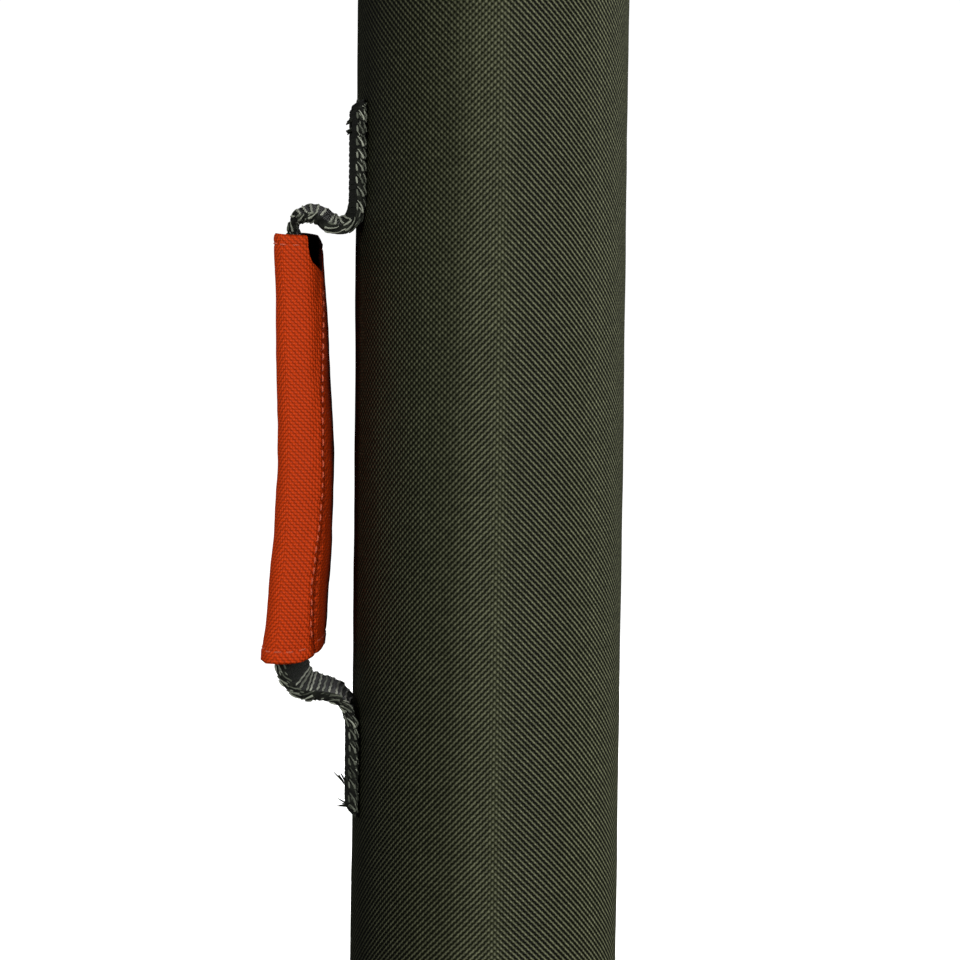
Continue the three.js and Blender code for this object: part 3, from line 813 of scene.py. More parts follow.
def web_yarns(buf, s0, s1, seed):
    """Light yarns over the dark body: curls along both edges, cross strands on both faces."""
    r = np.random.default_rng(seed)
    per = 3.4
    for sgn in (1, -1):
        k0 = math.ceil((s0 + 0.4) / per - 0.2)
        k = k0
        while k * per + 2.9 < s1 - 0.15:
            c = k * per + r.normal(0, 0.12)
            c = max(c, s0 + 0.35)
            curls = [((1.12, 0.72, 0.12, -0.22), (0.0, 0.7, 1.7, 2.6), (0.14, 0.20, 0.30, 0.42), 1.0),
                     ((-0.30, -0.72, -1.10, -1.24), (-0.2, 0.6, 1.5, 2.3), (0.13, 0.19, 0.26, 0.30), 0.8),
                     ((1.26, 1.22, 1.16, 1.10), (0.7, 1.2, 1.9, 2.5), (0.18, 0.34, 0.36, 0.20), 0.95)]
            for ns, ss, rr, at_ in curls:
                j = r.normal(0, 0.06)
                t4, tt = np.linspace(0, 1, 4), np.linspace(0, 1, 9)
                nn = np.interp(tt, t4, np.array(ns) + j)
                sv = c + np.interp(tt, t4, ss) * r.uniform(0.93, 1.05)
                bulge = 0.10 * np.sin(PI * tt)
                wv = np.array([edge_w(float(np.clip(x, -1.38, 1.38)), 0.0) for x in nn]) + bulge - 0.04
                off = np.where(np.abs(nn) > 1.0, 0.10 * np.sign(nn), 0)
                sv = np.clip(sv, s0 + 0.2, s1 - 0.2)
                yarn_line(buf, sv, sgn * wv, nn + off, np.array(rr) * 0.88, at_ * r.uniform(0.58, 1.0) * (0.76 if c > L_WEB - 22 else 1.0))
            k += 1
        for _ in range(int((s1 - s0) * 1.5)):
            c = r.uniform(s0 + 0.4, s1 - 1.4)
            n0 = r.uniform(-1.25, 1.25)
            n1 = float(np.clip(n0 - r.uniform(0.1, 0.6), -1.35, 1.35))
            tt = np.linspace(0, 1, 5)
            nn = n0 + (n1 - n0) * tt
            wv = np.array([edge_w(float(x), 0.0) for x in nn]) + 0.10 * np.sin(PI * tt) - 0.02
            yarn_line(buf, c + tt * r.uniform(0.6, 1.1), sgn * wv, nn, (0.08, 0.18, 0.08), r.uniform(0.35, 1.0), sides=5)
    step = 1.5
    for face in (1, -1):
        m = math.ceil((s0 + 0.5) / step)
        while m * step < s1 - 0.5:
            sc = m * step + r.normal(0, 0.10)
            sc = min(max(sc, s0 + 0.3), s1 - 0.3)
            # strands outside the listed stretches are sunk, thinner and dimmer; the dimming is painted shade, where the
            # sleeve shades the webbing
            sunk_and_shaded = 0 if STRAND_RAISED_UNSHADED(sc, face) else 1
            ww = np.linspace(-W_HALF + 1.1 + r.uniform(0, 0.8), W_HALF - 0.75 - r.uniform(0, 0.5), 24)
            slant_ = r.normal(0, 0.12)
            sv = sc + slant_ * ww / W_HALF + 0.10 * np.sin(ww * r.uniform(0.6, 1.1) + r.uniform(0, 6))
            # strands dive under the warps now and then
            dip = 0.10 * np.sin(ww * 2 * PI / 3.8 + m * PI)
            lift = (0.10 if not sunk_and_shaded else -0.06) + dip * 0.7
            rad_ = np.full(24, 0.30 if not sunk_and_shaded else 0.17) * r.uniform(0.8, 1.15)
            rad_[0] = rad_[-1] = 0.08
            sv = np.clip(sv, s0 + 0.25, s1 - 0.25)
            nn = face * (T_HALF - 0.12 + lift)
            if face > 0:
                nn = nn - 0.8 * np.interp(sc, s_dense, curv_d) * (1 - smoothstep(np.abs(ww), 8.6, 11.2))
            yarn_line(buf, sv, ww, nn, rad_, (1.05 if not sunk_and_shaded else 0.24) * r.uniform(0.7, 1.1), sides=5)
            m += 1
    return buf


def web_piece(name, s0, s1, step=0.3, cap0=False, cap1=False, ragged=None):
    ns = max(4, int(round((s1 - s0) / step)) + 1)
    s = np.linspace(s0, s1, ns)
    S = s[:, None]
    Wd, Nn, K, E = SEC_W[None, :], SEC_N[None, :], SEC_K[None, :], SEC_E[None, :]
    h = web_height(S, Wd, K, E, Nn)
    if ragged is not None:
        h = h * ragged(S)
    amp = np.where(K == 1, 0.30, 0.34)
    a = W_HALF - T_HALF
    ow = np.where(K == 1, (Wd - np.sign(Wd) * a) / T_HALF, 0)
    on = np.where(K == 1, Nn / T_HALF, np.sign(Nn))
    w = Wd + ow * (h - 0.75) * amp
    n = Nn + on * (h - 0.75) * amp
    if ragged is not None:  # cut end: uneven and thinner
        w = w * (1 - 0.04 * (1 - ragged(S)))
        n = n * (0.72 + 0.28 * ragged(S))
    press = np.interp(S, s_dense, curv_d)
    n = n - 0.8 * press * (1 - smoothstep(np.abs(Wd), 8.6, 11.2)) * (n > 0)
    P = web_map(S, w, n)
    per = np.concatenate([[0], np.cumsum(np.hypot(np.diff(SEC_W, append=SEC_W[0]), np.diff(SEC_N, append=SEC_N[0])))])
    UV = np.stack(np.meshgrid(s, per, indexing="ij"), -1)
    b = Buf()
    # the body's colour follows its relief: painted shade in the valleys between ribs, lighter on the crests
    b.grid(P, UV, wj=True, cap0=cap0, cap1=cap1, attr=0.15 * h)
    web_yarns(b, max(s0, 0.8), min(s1, L_WEB - 0.8), int(s0 * 7) + 5)
    return b


def s_at(x, z):
    return s_dense[np.argmin(np.hypot(dense[:, 0] - x, dense[:, 1] - z))]


def valley(s):
    """nearest place between two ribs"""
    return (math.floor(s / RIB) + 0.5) * RIB


# stretches where the cross strands are raised and bright; elsewhere they are dimmed as painted shade beneath the sleeve
STRAND_RAISED_UNSHADED = lambda sc, face: (sc > 31 and sc < 100 and face == 1) or (sc > s_at(-51.8, 337.4) and sc < L_WEB - 26)
s_mid_up = valley(s_at(-45.2, 465.0))
s_mid_low = valley(s_at(-46.0, 336.0))
s_core_end = valley(s_at(-53.2, 352.0))

rag_up = lambda S: smoothstep(S, -0.3, 2.6)
rag_low = lambda S: smoothstep(L_WEB - S, -0.3, 2.2)

# frayed ends: loose filaments at the sewn ends, in the plane seen from the front
def fray(b, spots, seed):
    r = np.random.default_rng(seed)
    for x, y, z, dx, dz, ln, rad_, cnt in spots:
        for i in range(cnt):
            d = np.array([dx, r.normal(-0.1, 0.25), dz]) + r.normal(0, 0.12, 3)
            d /= np.linalg.norm(d)
            p = np.array([x, y, z]) + r.normal(0, 0.18, 3)
            bend_ = r.normal(0, 0.25, 3)
            L = ln * r.uniform(0.75, 1.1)
            t = np.linspace(0, 1, 7)[:, None]
            path = p + d * L * t + bend_ * L * t**2 * 0.5
            tube_along(b, path, rad_ * (1 - 0.55 * t[:, 0] ** 2), sides=6, attr=0.25 + 0.2 * r.random())


bA = web_piece("a", 0, s_mid_up, cap0=True, cap1=True, ragged=rag_up)
fray(bA, [(-37.7, -9.0, 490.6, -0.80, -0.50, 1.6, 0.46, 7), (-37.8, -8.5, 487.9, -0.85, -0.42, 1.5, 0.40, 5), (-36.0, -14.6, 494.6, 0.0, 0.9, 0.9, 0.26, 4)], 31)
bB = web_piece("b", s_mid_up, s_core_end, cap0=True, cap1=True)
bC = web_piece("c", s_core_end + 0.05, s_mid_low, cap0=True, cap1=True)
bD = web_piece("d", s_mid_low, L_WEB, cap0=True, cap1=True, ragged=rag_low)
fray(bD, [(-37.8, -8.5, 309.2, -0.62, 0.78, 4.2, 0.34, 4), (-37.9, -8.0, 309.4, -0.40, 0.90, 3.6, 0.26, 2), (-37.3, -10.5, 311.2, -0.10, 0.95, 2.6, 0.40, 5),
          (-37.5, -11.5, 304.6, -0.97, 0.20, 2.5, 0.32, 4), (-35.6, -14.5, 302.6, 0.05, -0.9, 0.9, 0.26, 4)], 33)
webA = bA.object("webbing_upper", M_WEB)
webB = bB.object("webbing_core", M_WEB)
webC = bC.object("webbing_lower_link", M_WEB)
webD = bD.object("webbing_lower", M_WEB)
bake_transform(webA)
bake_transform(webB)
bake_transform(webC)
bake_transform(webD)
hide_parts("strap_end_upper", "strap_link_upper")
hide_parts("strap_core")
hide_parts("strap_end_lower", "strap_link_lower")

# ------------------------------------------------------------------ orange sleeve
SL = np.array([  # height, centre x, half thickness
    (342.0, -54.0, 8.35), (347.9, -53.6, 8.3), (353.4, -52.85, 8.25), (364.4, -52.1, 8.05), (375.5, -51.1, 8.1), (386.5, -50.85, 7.85), (397.5, -50.42, 7.6), (408.5, -50.55, 7.3),
    (419.6, -51.2, 7.05), (430.6, -51.9, 7.0), (441.6, -52.5, 6.7), (450.0, -53.1, 6.45), (456.0, -53.4, 6.25), (459.0, -53.5, 6.05), (463.0, -53.6, 5.6)])
SL_HY = 14.2
_slz = np.linspace(SL[0, 0], SL[-1, 0], 600)
_k = np.hanning(41); _k /= _k.sum()
_slx = soft(np.interp(_slz, SL[:, 0], SL[:, 1]), _k) * 0.987
_slx = _slx - 0.55 * (1 - smoothstep(_slz, 415, 450))
_slh = soft(np.interp(_slz, SL[:, 0], SL[:, 2]), _k) * 0.987


def sleeve_point(phi, z, off=0.0):
    """phi in degrees from the side that faces the tube, towards the front; stadium section. Returns points and outward normals."""
    phi, z = np.broadcast_arrays(np.asarray(phi, float), np.asarray(z, float))
    xc, hx = np.interp(z, _slz, _slx), np.interp(z, _slz, _slh)
    p = np.radians(phi)
    fl = SL_HY - hx
    # the flats are walked within a band of 14 degrees either side of 0 and 180
    c, s_ = np.cos(p), np.sin(p)
    e = 0.62
    # superellipse-like blend between flat sides and round ends
    nx, ny = c, -s_
    x = xc + (hx + off) * np.sign(c) * np.abs(c) ** e
    # the y of the section grows linearly over the flats and follows the round ends
    y = -np.sign(s_) * (fl * smoothstep(np.abs(s_), 0.0, 0.42) ** 0.8 + (hx + off) * np.abs(s_) ** 1.25)
    n = np.stack([nx, ny, np.zeros_like(nx)], -1)
    return np.stack([x, y, z], -1), n


SEAM = np.array([(340, 44), (347, 46), (353.6, 58), (358.8, 59), (364, 62), (375, 60), (382, 52), (391, 47), (400, 48), (410, 45), (425, 30), (449, 6), (463, 3)], float)
SEAM[:, 1] -= 3.0 * (1 - smoothstep(SEAM[:, 0], 405, 430))
EDGE_A = np.array([(340, 44), (347, 46), (353.6, 58), (358.8, 59), (364, 62), (375, 60), (382, 52), (391, 47), (400, 48), (410, 45), (425, 30), (440, 14), (448.8, 6), (449.8, 12),
                   (450.3, 24), (451.2, 44), (452.2, 57), (454.4, 63), (457.0, 64.5), (460.5, 65), (463, 65)], float)
EDGE_A[:, 1] -= 3.0 * (1 - smoothstep(EDGE_A[:, 0], 405, 430))
EDGE_B = np.array([(340, 44), (347, 46), (353.6, 58), (358.8, 59), (364, 62), (375, 60), (382, 52), (391, 47), (400, 48), (410, 45), (425, 30), (440, 14), (448.8, 6), (452, 3),
                   (455, -2), (457.3, -10), (458.6, -24), (459.6, -42), (463, -50)], float)
EDGE_B[:, 1] -= 3.0 * (1 - smoothstep(EDGE_B[:, 0], 405, 430))
Z_TOP = np.array([(0, 459.3), (55, 459.2), (90, 459.3), (140, 459.8), (180, 460.1), (230, 461.0), (270, 461.4), (320, 460.6), (345, 459.4), (366, 458.6)], float)
Z_BOT = np.array([(0, 347.1), (8, 347.1), (30, 346.2), (43, 345.7), (54, 345.2), (72, 344.2), (90, 343.5), (129, 343.3), (146, 343.8), (180, 343.9), (270, 344.9), (330, 346.4), (366, 347.1), (425, 345.2)], float)
sl_wave = waves(41, 22, 14, 60)
sl_fine = waves(43, 30, 4, 13)




def sleeve_mesh():
    nz, nq = 150, 150
    tz = np.linspace(0, 1, nz)
    # denser rows near both hems
    tz = tz + 0.035 * np.sin(2 * PI * tz) * -1
    u = np.linspace(0, 1, nq)
    U_, T_ = np.meshgrid(u, tz, indexing="ij")
    z_try = 344.0 + (461.0 - 344.0) * T_
    for _ in range(4):  # rows run from the lower rim to the upper rim of each place round the sleeve
        a0 = np.interp(z_try, EDGE_A[:, 0], EDGE_A[:, 1]) + 0.4
        a1 = 360 + np.interp(z_try, EDGE_B[:, 0], EDGE_B[:, 1]) - 0.4
        phi = a0 + (a1 - a0) * U_
        zb = np.interp(phi, Z_BOT[:, 0], Z_BOT[:, 1])
        zt = np.interp(phi, Z_TOP[:, 0], Z_TOP[:, 1])
        z_try = zb + (zt - zb) * T_
    z = z_try
    P, N = sleeve_point(phi, z)
    # real arc lengths for the weave
    dP = np.linalg.norm(np.diff(P, axis=0), axis=2)
    arc = np.concatenate([np.zeros((1, nz)), np.cumsum(dP, axis=0)], 0)
    # measure the weave from the outermost line, so that the threads run straight up
    mid = np.array([np.interp(90, phi[:, j], arc[:, j]) for j in range(nz)])
    Uu = arc - mid[None, :]
    Vv = z
    ht, hb = zt - z, z - zb
    d = 0.16 * sl_wave(Uu, z) + 0.05 * sl_fine(Uu, z)
    # hems: a doubled edge and the line its stitches pull in
    d = d + 0.16 * (1 - smoothstep(ht, 2.3, 3.2)) - 0.45 * (1 - smoothstep(ht, 0, 0.9)) - 0.26 * np.exp(-(((ht - 2.75) / 0.42) ** 2))
    d = d + 0.28 * (1 - smoothstep(hb, 2.8, 3.8)) - 0.26 * np.exp(-(((hb - 3.25) / 0.42) ** 2))
    # the closing seam: edges roll in, with a pucker along the stitches
    da = (phi - a0) / 57.3 * 7.0
    db = (a1 - phi) / 57.3 * 7.0
    closed = 1 - smoothstep(z, 448, 451)
    d = d - 0.30 * np.exp(-((da / 0.55) ** 2)) * closed - 0.42 * np.exp(-((db / 0.8) ** 2)) * closed
    d = d + 0.30 * np.exp(-(((da - 1.9) / 0.9) ** 2)) * closed
    d = d + 0.12 * np.sin(z * 2 * PI / 2.9) * np.exp(-(((da - 1.6) / 1.2) ** 2)) * closed
    P = P + N * d[..., None]
    UV = np.stack([Uu, Vv], -1)
    return P, UV, phi, z, zt, zb, N


P, UV, phi_g, z_g, zt_g, zb_g, N_g = sleeve_mesh()
b = Buf()
b.grid(P, UV, flip=False)
sleeve = b.object("grip_sleeve_cloth", M_SLEEVE)
# outward check: the outer side's normals point away from the sleeve's middle
me = sleeve.data
c0 = Vector((-0.0525, 0, 0.40))
f0 = me.polygons[len(me.polygons) // 2]
if (f0.center - Vector((c0.x, c0.y, f0.center.z))).dot(f0.normal) < 0:
    me.flip_normals()
sol = sleeve.modifiers.new("cloth_thickness", "SOLIDIFY")
sol.thickness, sol.offset, sol.use_even_offset = 0.95 * MM, -1.0, False
# the inner face and the cut edges take the dark inside material: painted shade on the edges and inside the sleeve, over
# a darker backing
sleeve.data.materials.append(M_SLEEVE_INSIDE_SHADE)
sol.material_offset = 1
sol.material_offset_rim = 1
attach(sleeve, "grip")
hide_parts("grip_sleeve")

# hem and seam stitches
b = Buf()
for zz0, key in ((2.75, "t"), (3.25, "b")):
    ph = np.linspace(70, 330, 260) if key == "t" else np.linspace(62, 405, 260)
    z = np.interp(ph, Z_TOP[:, 0], Z_TOP[:, 1]) - zz0 if key == "t" else np.interp(ph, Z_BOT[:, 0], Z_BOT[:, 1]) + zz0
    pp, nn = sleeve_point(ph, z, 0.0)
    stitches(b, pp, nn, pitch=3.4, length=2.3, radius=0.21, lift=-0.04, seed=51)
zz = np.linspace(349.5, 446, 300)
ph = np.interp(zz, SEAM[:, 0], SEAM[:, 1]) + 10.0
pp, nn = sleeve_point(ph, zz, 0.25)
stitches(b, pp, nn, pitch=2.9, length=2.0, radius=0.25, lift=0.06, seed=53)
sl_st = b.object("grip_sleeve_stitches", M_THREAD_ORANGE)
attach(sl_st, "grip")

# ------------------------------------------------------------------ more cloth and hard materials
M_PIPING = cloth("piping_cloth", lin(46, 48, 38), pu=0.55, pv=0.55, depth=0.12, painted_valley_shade=0.45, vary=0.1)
M_BINDING = cloth("binding_grosgrain", lin(42, 44, 37), pu=0.45, pv=0.9, depth=0.16, painted_valley_shade=0.4, vary=0.1)
M_TAPE = cloth("zip_tape_cloth", lin(44, 46, 40), pu=0.42, pv=0.42, depth=0.10, painted_valley_shade=0.5, vary=0.12, sheen=0.1)


def liner_mat():
    g = G("ripstop_liner")
    U, V = g.uv()
    h, tid, par = plain_weave(g, U, V, 0.30, 0.30, wander=0.04)
    gu = g.m("ABSOLUTE", g.sub(g.m("FRACT", g.m("DIVIDE", U, 5.0)), 0.5))
    gv = g.m("ABSOLUTE", g.sub(g.m("FRACT", g.m("DIVIDE", V, 5.0)), 0.5))
    rip = g.m("MAXIMUM", g.remap(gu, 0.44, 0.48, 0, 1), g.remap(gv, 0.44, 0.48, 0, 1))
    n = g.noise(g.vec(U, V), 0.03, 3.0)
    # painted shade: darker in the hollows between the threads; the ripstop grid is lighter
    k = g.mul(g.add(0.65, g.mul(h, 0.35)), g.add(0.85, g.mul(n, 0.3)))
    k = g.mul(k, g.add(1.0, g.mul(rip, 0.28)))
    g.set(Base_Color=g.scale(lin(74, 77, 74), k), Roughness=0.55, Normal=g.bump(g.add(g.mul(h, 0.5), rip), 0.06))
    g.b.inputs["Sheen Weight"].default_value = 0.15
    return g.mat


M_LINER = liner_mat()


def foam_mat():
    g = G("closed_cell_foam")
    co = g.obj()
    v = g.nt.nodes.new("ShaderNodeTexVoronoi")
    g.put(v.inputs["Vector"], co)
    v.inputs["Scale"].default_value = 1500
    n = g.noise(co, 300, 3.0)
    k = g.add(0.7, g.add(g.mul(v.outputs["Distance"], 0.35), g.mul(n, 0.2)))
    g.set(Base_Color=g.scale(lin(58, 60, 58), k), Roughness=0.95, Normal=g.bump(g.add(v.outputs["Distance"], n), 0.12))
    return g.mat


M_FOAM = foam_mat()


def hard_mat(name, base, scale=180.0, rough=0.55, depth=0.04, metal=0.0, speck=0.2, stretch=(1, 1, 1), coat=0.0):
    g = G(name)
    c = g.sep(g.obj())
    co = g.vec(g.mul(c[0], stretch[0]), g.mul(c[1], stretch[1]), g.mul(c[2], stretch[2]))
    n = g.noise(co, scale, 4.0, 0.6)
    n2 = g.noise(co, scale * 0.14, 3.0, 0.6, 0.6)
    k = g.add(1 - speck / 2, g.mul(n, speck))
    k = g.mul(k, g.add(0.88, g.mul(n2, 0.24)))
    g.set(Base_Color=g.scale(base, k), Roughness=g.remap(g.add(n, n2), 0.6, 1.4, rough - 0.12, rough + 0.14), Normal=g.bump(n, depth))
    g.b.inputs["Metallic"].default_value = metal
    g.b.inputs["Coat Weight"].default_value = coat
    return g.mat


M_BOARD = hard_mat("grey_board", lin(52, 50, 44), 900, 0.85, 0.10, speck=0.5)
M_CORE = hard_mat("tube_plastic", lin(120, 122, 116), 260, 0.42, 0.03, stretch=(1, 1, 0.06), speck=0.16)
M_STIFF = hard_mat("stiffener_plastic", lin(96, 98, 92), 320, 0.5, 0.03, stretch=(1, 1, 0.3), speck=0.18)
M_METAL = hard_mat("gunmetal", lin(92, 90, 84), 700, 0.38, 0.015, metal=0.85, speck=0.25)
M_STOP = hard_mat("stop_metal", lin(120, 114, 96), 900, 0.42, 0.02, metal=0.9, speck=0.3)
M_RUBBER = hard_mat("pull_rubber", lin(38, 40, 34), 1400, 0.6, 0.05, speck=0.15)


def coil_mat():
    g = G("nylon_coil")
    U, V = g.uv()
    n = g.noise(g.vec(U, V), 0.8, 2.0)
    g.set(Base_Color=g.mix(n, lin(34, 36, 31), lin(62, 64, 56)), Roughness=0.34, Normal=g.bump(n, 0.03))
    g.b.inputs["Coat Weight"].default_value = 0.12
    return g.mat


M_COIL = coil_mat()

# CAD nodes that are kept: hard parts
for names, m_ in ((("base_board", "lid_board"), M_BOARD), (("core_tube",), M_CORE), (("lid_stiffener",), M_STIFF)):
    for nm in names:
        o = bpy.data.objects[nm]
        o.data.materials.clear()
        o.data.materials.append(m_)


def bevelled(nodes, name, mat, body, width=0.35, seg=3):
    """A hard part rebuilt from its CAD node with rounded edges."""
    for nd in nodes:
        src = bpy.data.objects[nd]
        me_ = src.data.copy()
        me_.transform(src.matrix_world)
        me_.materials.clear()
        me_.materials.append(mat)
        o = bpy.data.objects.new(name, me_)
        SC.collection.objects.link(o)
        wd = o.modifiers.new("weld", "WELD")
        wd.merge_threshold = 0.00001
        bv = o.modifiers.new("edges", "BEVEL")
        bv.width, bv.segments, bv.limit_method, bv.angle_limit = width * MM, seg, "ANGLE", math.radians(35)
        me_.polygons.foreach_set("use_smooth", [True] * len(me_.polygons))
        wn_ = o.modifiers.new("normals", "WEIGHTED_NORMAL")
        wn_.keep_sharp = True
        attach(o, body)
        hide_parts(nd)
        yield o


def planar_uv(ob, axes=(0, 1)):
    """Weave coordinates straight from the position, in millimetres."""
    me_ = ob.data
    co = np.empty(len(me_.vertices) * 3)
    me_.vertices.foreach_get("co", co)
    co = co.reshape(-1, 3) / MM
    li = np.empty(len(me_.loops), np.int64)
    me_.loops.foreach_get("vertex_index", li)
    me_.uv_layers["Weave"].data.foreach_set("uv", co[li][:, list(axes)].ravel().astype(np.float32))


FULL = np.linspace(0, 2 * PI, 240, endpoint=False)

# ------------------------------------------------------------------ base and lid ends
def disc(name, r, z0, z1, mat, puff=0.0, seed=1, rings=26, n=160, edge=0.35):
    w_ = waves(seed, 14, 9, 50)
    rr = np.concatenate([np.linspace(0.02, r - edge, rings), [r - edge * 0.3, r]])
    prof = [(x, z0) for x in rr[:-1]] + [(r, z0 + edge * 0.8), (r, z1 - edge * 0.8)] + [(x, z1) for x in rr[:-1][::-1]]
    prof = np.array(prof)
    A, R = np.meshgrid(np.linspace(0, 2 * PI, n, endpoint=False), prof[:, 0], indexing="ij")
    Z = np.meshgrid(A[:, 0], prof[:, 1], indexing="ij")[1]
    bend_ = puff * w_(R * np.cos(A), R * np.sin(A)) * (1 - smoothstep(R, r * 0.8, r))
    P_ = np.stack([R * np.cos(A), R * np.sin(A), Z + bend_], -1)
    bb = Buf()
    bb.grid(P_, None, wi=True, wj=True)
    o = bb.object(name, mat)
    planar_uv(o)
    return o


def box_mm(node):
    lo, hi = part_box(node)
    return [c / MM for c in lo], [c / MM for c in hi]


for node, body, sgn, seed in (("base_panel", "tube", -1, 61), ("lid_top_panel", "lid", 1, 62)):
    lo, hi = box_mm(node)
    o = disc(node + "_cloth", hi[0], lo[2], hi[2], M_COVER, puff=0.10, seed=seed)
    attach(o, body)
    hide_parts(node)
    # a row of stitches just inside the piping
    bb = Buf()
    th = np.linspace(0, 2 * PI * 0.999, 500)
    rr = hi[0] - 2.2
    zz = (lo[2] if sgn < 0 else hi[2]) * np.ones_like(th)
    stitches(bb, np.stack([rr * np.cos(th), rr * np.sin(th), zz], 1), np.tile([0, 0, sgn], (len(th), 1)), radius=0.22, lift=-0.05, seed=seed)
    st = bb.object(node + "_stitches", M_THREAD_OLIVE)
    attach(st, body)

for node, body in (("base_piping", "tube"), ("lid_piping", "lid")):
    lo, hi = box_mm(node)
    rad_ = (hi[2] - lo[2]) / 2
    rc, zc = hi[0] - rad_, (lo[2] + hi[2]) / 2
    t = np.linspace(0, 2 * PI, 16, endpoint=False)
    w_ = ring_waves(71, 14, 30, 20, 40)
    bb = Buf()
    lathe_buf(bb, np.linspace(0, 2 * PI, 300, endpoint=False), np.stack([rc + rad_ * np.cos(t), zc + rad_ * np.sin(t)], 1), lambda A, R, Z: 0.05 * w_(A, Z) * (R > rc))
    o = bb.object(node + "_cord", M_PIPING)
    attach(o, body)
    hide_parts(node)


def ring_stitches(name, z, body, r, arc=(0, 2 * PI * 0.999), seed=1, mat=None, radius=0.22):
    th = np.linspace(arc[0], arc[1], 700)
    rr = r(th, np.full_like(th, z)) if callable(r) else np.full_like(th, r)
    bb = Buf()
    stitches(bb, np.stack([rr * np.cos(th), rr * np.sin(th), np.full_like(th, z)], 1), np.stack([np.cos(th), np.sin(th), 0 * th], 1), radius=radius, seed=seed)
    o = bb.object(name, mat or M_THREAD_OLIVE)
    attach(o, body)
    return o


on_cover = lambda th, z: R_COVER + cover_offset(th, np.full_like(th, R_COVER), z)
ring_stitches("cover_hem_stitches_low", COVER_Z[0] + 3.6, "tube", on_cover, seed=81)
ring_stitches("cover_hem_stitches_top", COVER_Z[1] - 3.0, "tube", on_cover, seed=82)

# skirt of the lid
skirt_wave = ring_waves(13, 18, 7, 30, 120)


def skirt_offset(A, R, Z):
    d = 0.09 * skirt_wave(A, Z) * smoothstep(Z, SKIRT_Z[0], SKIRT_Z[0] + 3) * (1 - smoothstep(Z, SKIRT_Z[1] - 3, SKIRT_Z[1]))
    arc = ((A - PI / 2 + PI) % (2 * PI) - PI) * R_COVER
    d = d + smoothstep(-np.abs(arc), -6.2, -5.2) * 0.6 - np.exp(-(((np.abs(arc) - 3.9) / 0.55) ** 2)) * 0.2
    return np.where(R > R_COVER - 0.35, d, 0)


bb = Buf()
lathe_buf(bb, theta_list(240, PI / 2), shell_profile(SKIRT_Z[0], SKIRT_Z[1], R_COVER - 0.88, R_COVER, 30, 3), skirt_offset, uv_r=0.82 * 284 / (2 * PI))
skirt = bb.object("lid_skirt_cloth", M_COVER)
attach(skirt, "lid")
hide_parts("lid_skirt")
on_skirt = lambda th, z: R_COVER + skirt_offset(th, np.full_like(th, R_COVER), z)
ring_stitches("skirt_stitches_low", SKIRT_Z[0] + 3.0, "lid", on_skirt, seed=83)
ring_stitches("skirt_stitches_top", SKIRT_Z[1] - 3.2, "lid", on_skirt, seed=84)

# binding over the rim of the tube
lo, hi = box_mm("rim_binding")
ri, ro = 33.0, hi[0]
prof = [(ri, lo[2]), (ri, hi[2] - 0.75), (ri + 0.25, hi[2] - 0.25), (ri + 0.75, hi[2]), (ro - 0.75, hi[2]), (ro - 0.25, hi[2] - 0.25), (ro, hi[2] - 0.75), (ro, lo[2])]
w_ = ring_waves(15, 16, 24, 4, 20)
bb = Buf()
lathe_buf(bb, FULL, prof, lambda A, R, Z: 0.04 * w_(A, Z) * np.where(R > 34.4, 1, -1))
o = bb.object("rim_binding_tape", M_BINDING)
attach(o, "tube")
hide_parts("rim_binding")

# ------------------------------------------------------------------ zip
TH0, TH1 = math.radians(-241.7), math.radians(61.7)
for node, body, seed in (("zip_tape_lower", "tube", 91), ("zip_tape_upper", "lid", 92)):
    lo, hi = box_mm(node)
    z0, z1, r0, r1 = lo[2], hi[2], 36.2, 36.9
    prof = [(r1 - 0.2, z0), (r1, z0 + 0.2)] + [(r1, z) for z in np.linspace(z0 + 0.5, z1 - 0.5, 8)] + [(r1, z1 - 0.2), (r1 - 0.2, z1), (r0, z1), (r0, z0)]
    w_ = waves(seed, 14, 10, 40)
    bb = Buf()
    lathe_buf(bb, np.linspace(TH0, TH1, 330), prof, lambda A, R, Z: 0.05 * w_(A * 37, Z) * (R > 36.6), full=False)
    o = bb.object(node + "_cloth", M_TAPE)
    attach(o, body)
    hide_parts(node)
    ring_stitches(node + "_stitches", (z0 + 1.5) if body == "tube" else (z1 - 1.5), body, 36.9, arc=(TH0 + 0.01, TH1 - 0.01), seed=seed, radius=0.17)

C0, C1 = math.radians(-235.8), math.radians(55.2)
turns = 124
for node, body, zc, phs, sgn in (("zip_chain_lower", "tube", 749.12, 0.0, 1), ("zip_chain_upper", "lid", 750.88, 0.5, -1)):
    k = np.arange(turns * 14 + 1) / 14.0
    ang = C0 + (C1 - C0) * (k + phs) / (turns + 1)
    t = 2 * PI * k
    r_ = 36.8 + 0.50 * np.cos(t)
    z_ = zc + sgn * 0.80 * np.sin(t)
    head = 0.40 + 0.13 * np.clip(np.sin(t), 0, 1) ** 6
    bb = Buf()
    tube_along(bb, np.stack([r_ * np.cos(ang), r_ * np.sin(ang), z_], 1), head, sides=6)
    # the line of stitching that holds the coil down
    th = np.linspace(C0, C1, 900)
    rs = 37.22 + 0.16 * np.sin(2 * PI * (th - C0) / (C1 - C0) * (turns + 1))
    tube_along(bb, np.stack([rs * np.cos(th), rs * np.sin(th), np.full_like(th, zc - sgn * 0.35)], 1), 0.13, sides=5)
    o = bb.object(node + "_coil", M_COIL)
    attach(o, body)
    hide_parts(node)

list(bevelled(["zip_stop_closed"], "zip_stop_closed_clip", M_STOP, "tube", 0.25))
list(bevelled(["zip_stop_open"], "zip_stop_open_box", M_STOP, "tube", 0.3))
list(bevelled(["zip_slider_body"], "zip_slider_cast", M_METAL, "zip_slider", 0.28))
list(bevelled(["zip_pull_tab"], "zip_pull_plate", M_METAL, "zip_pull", 0.28))

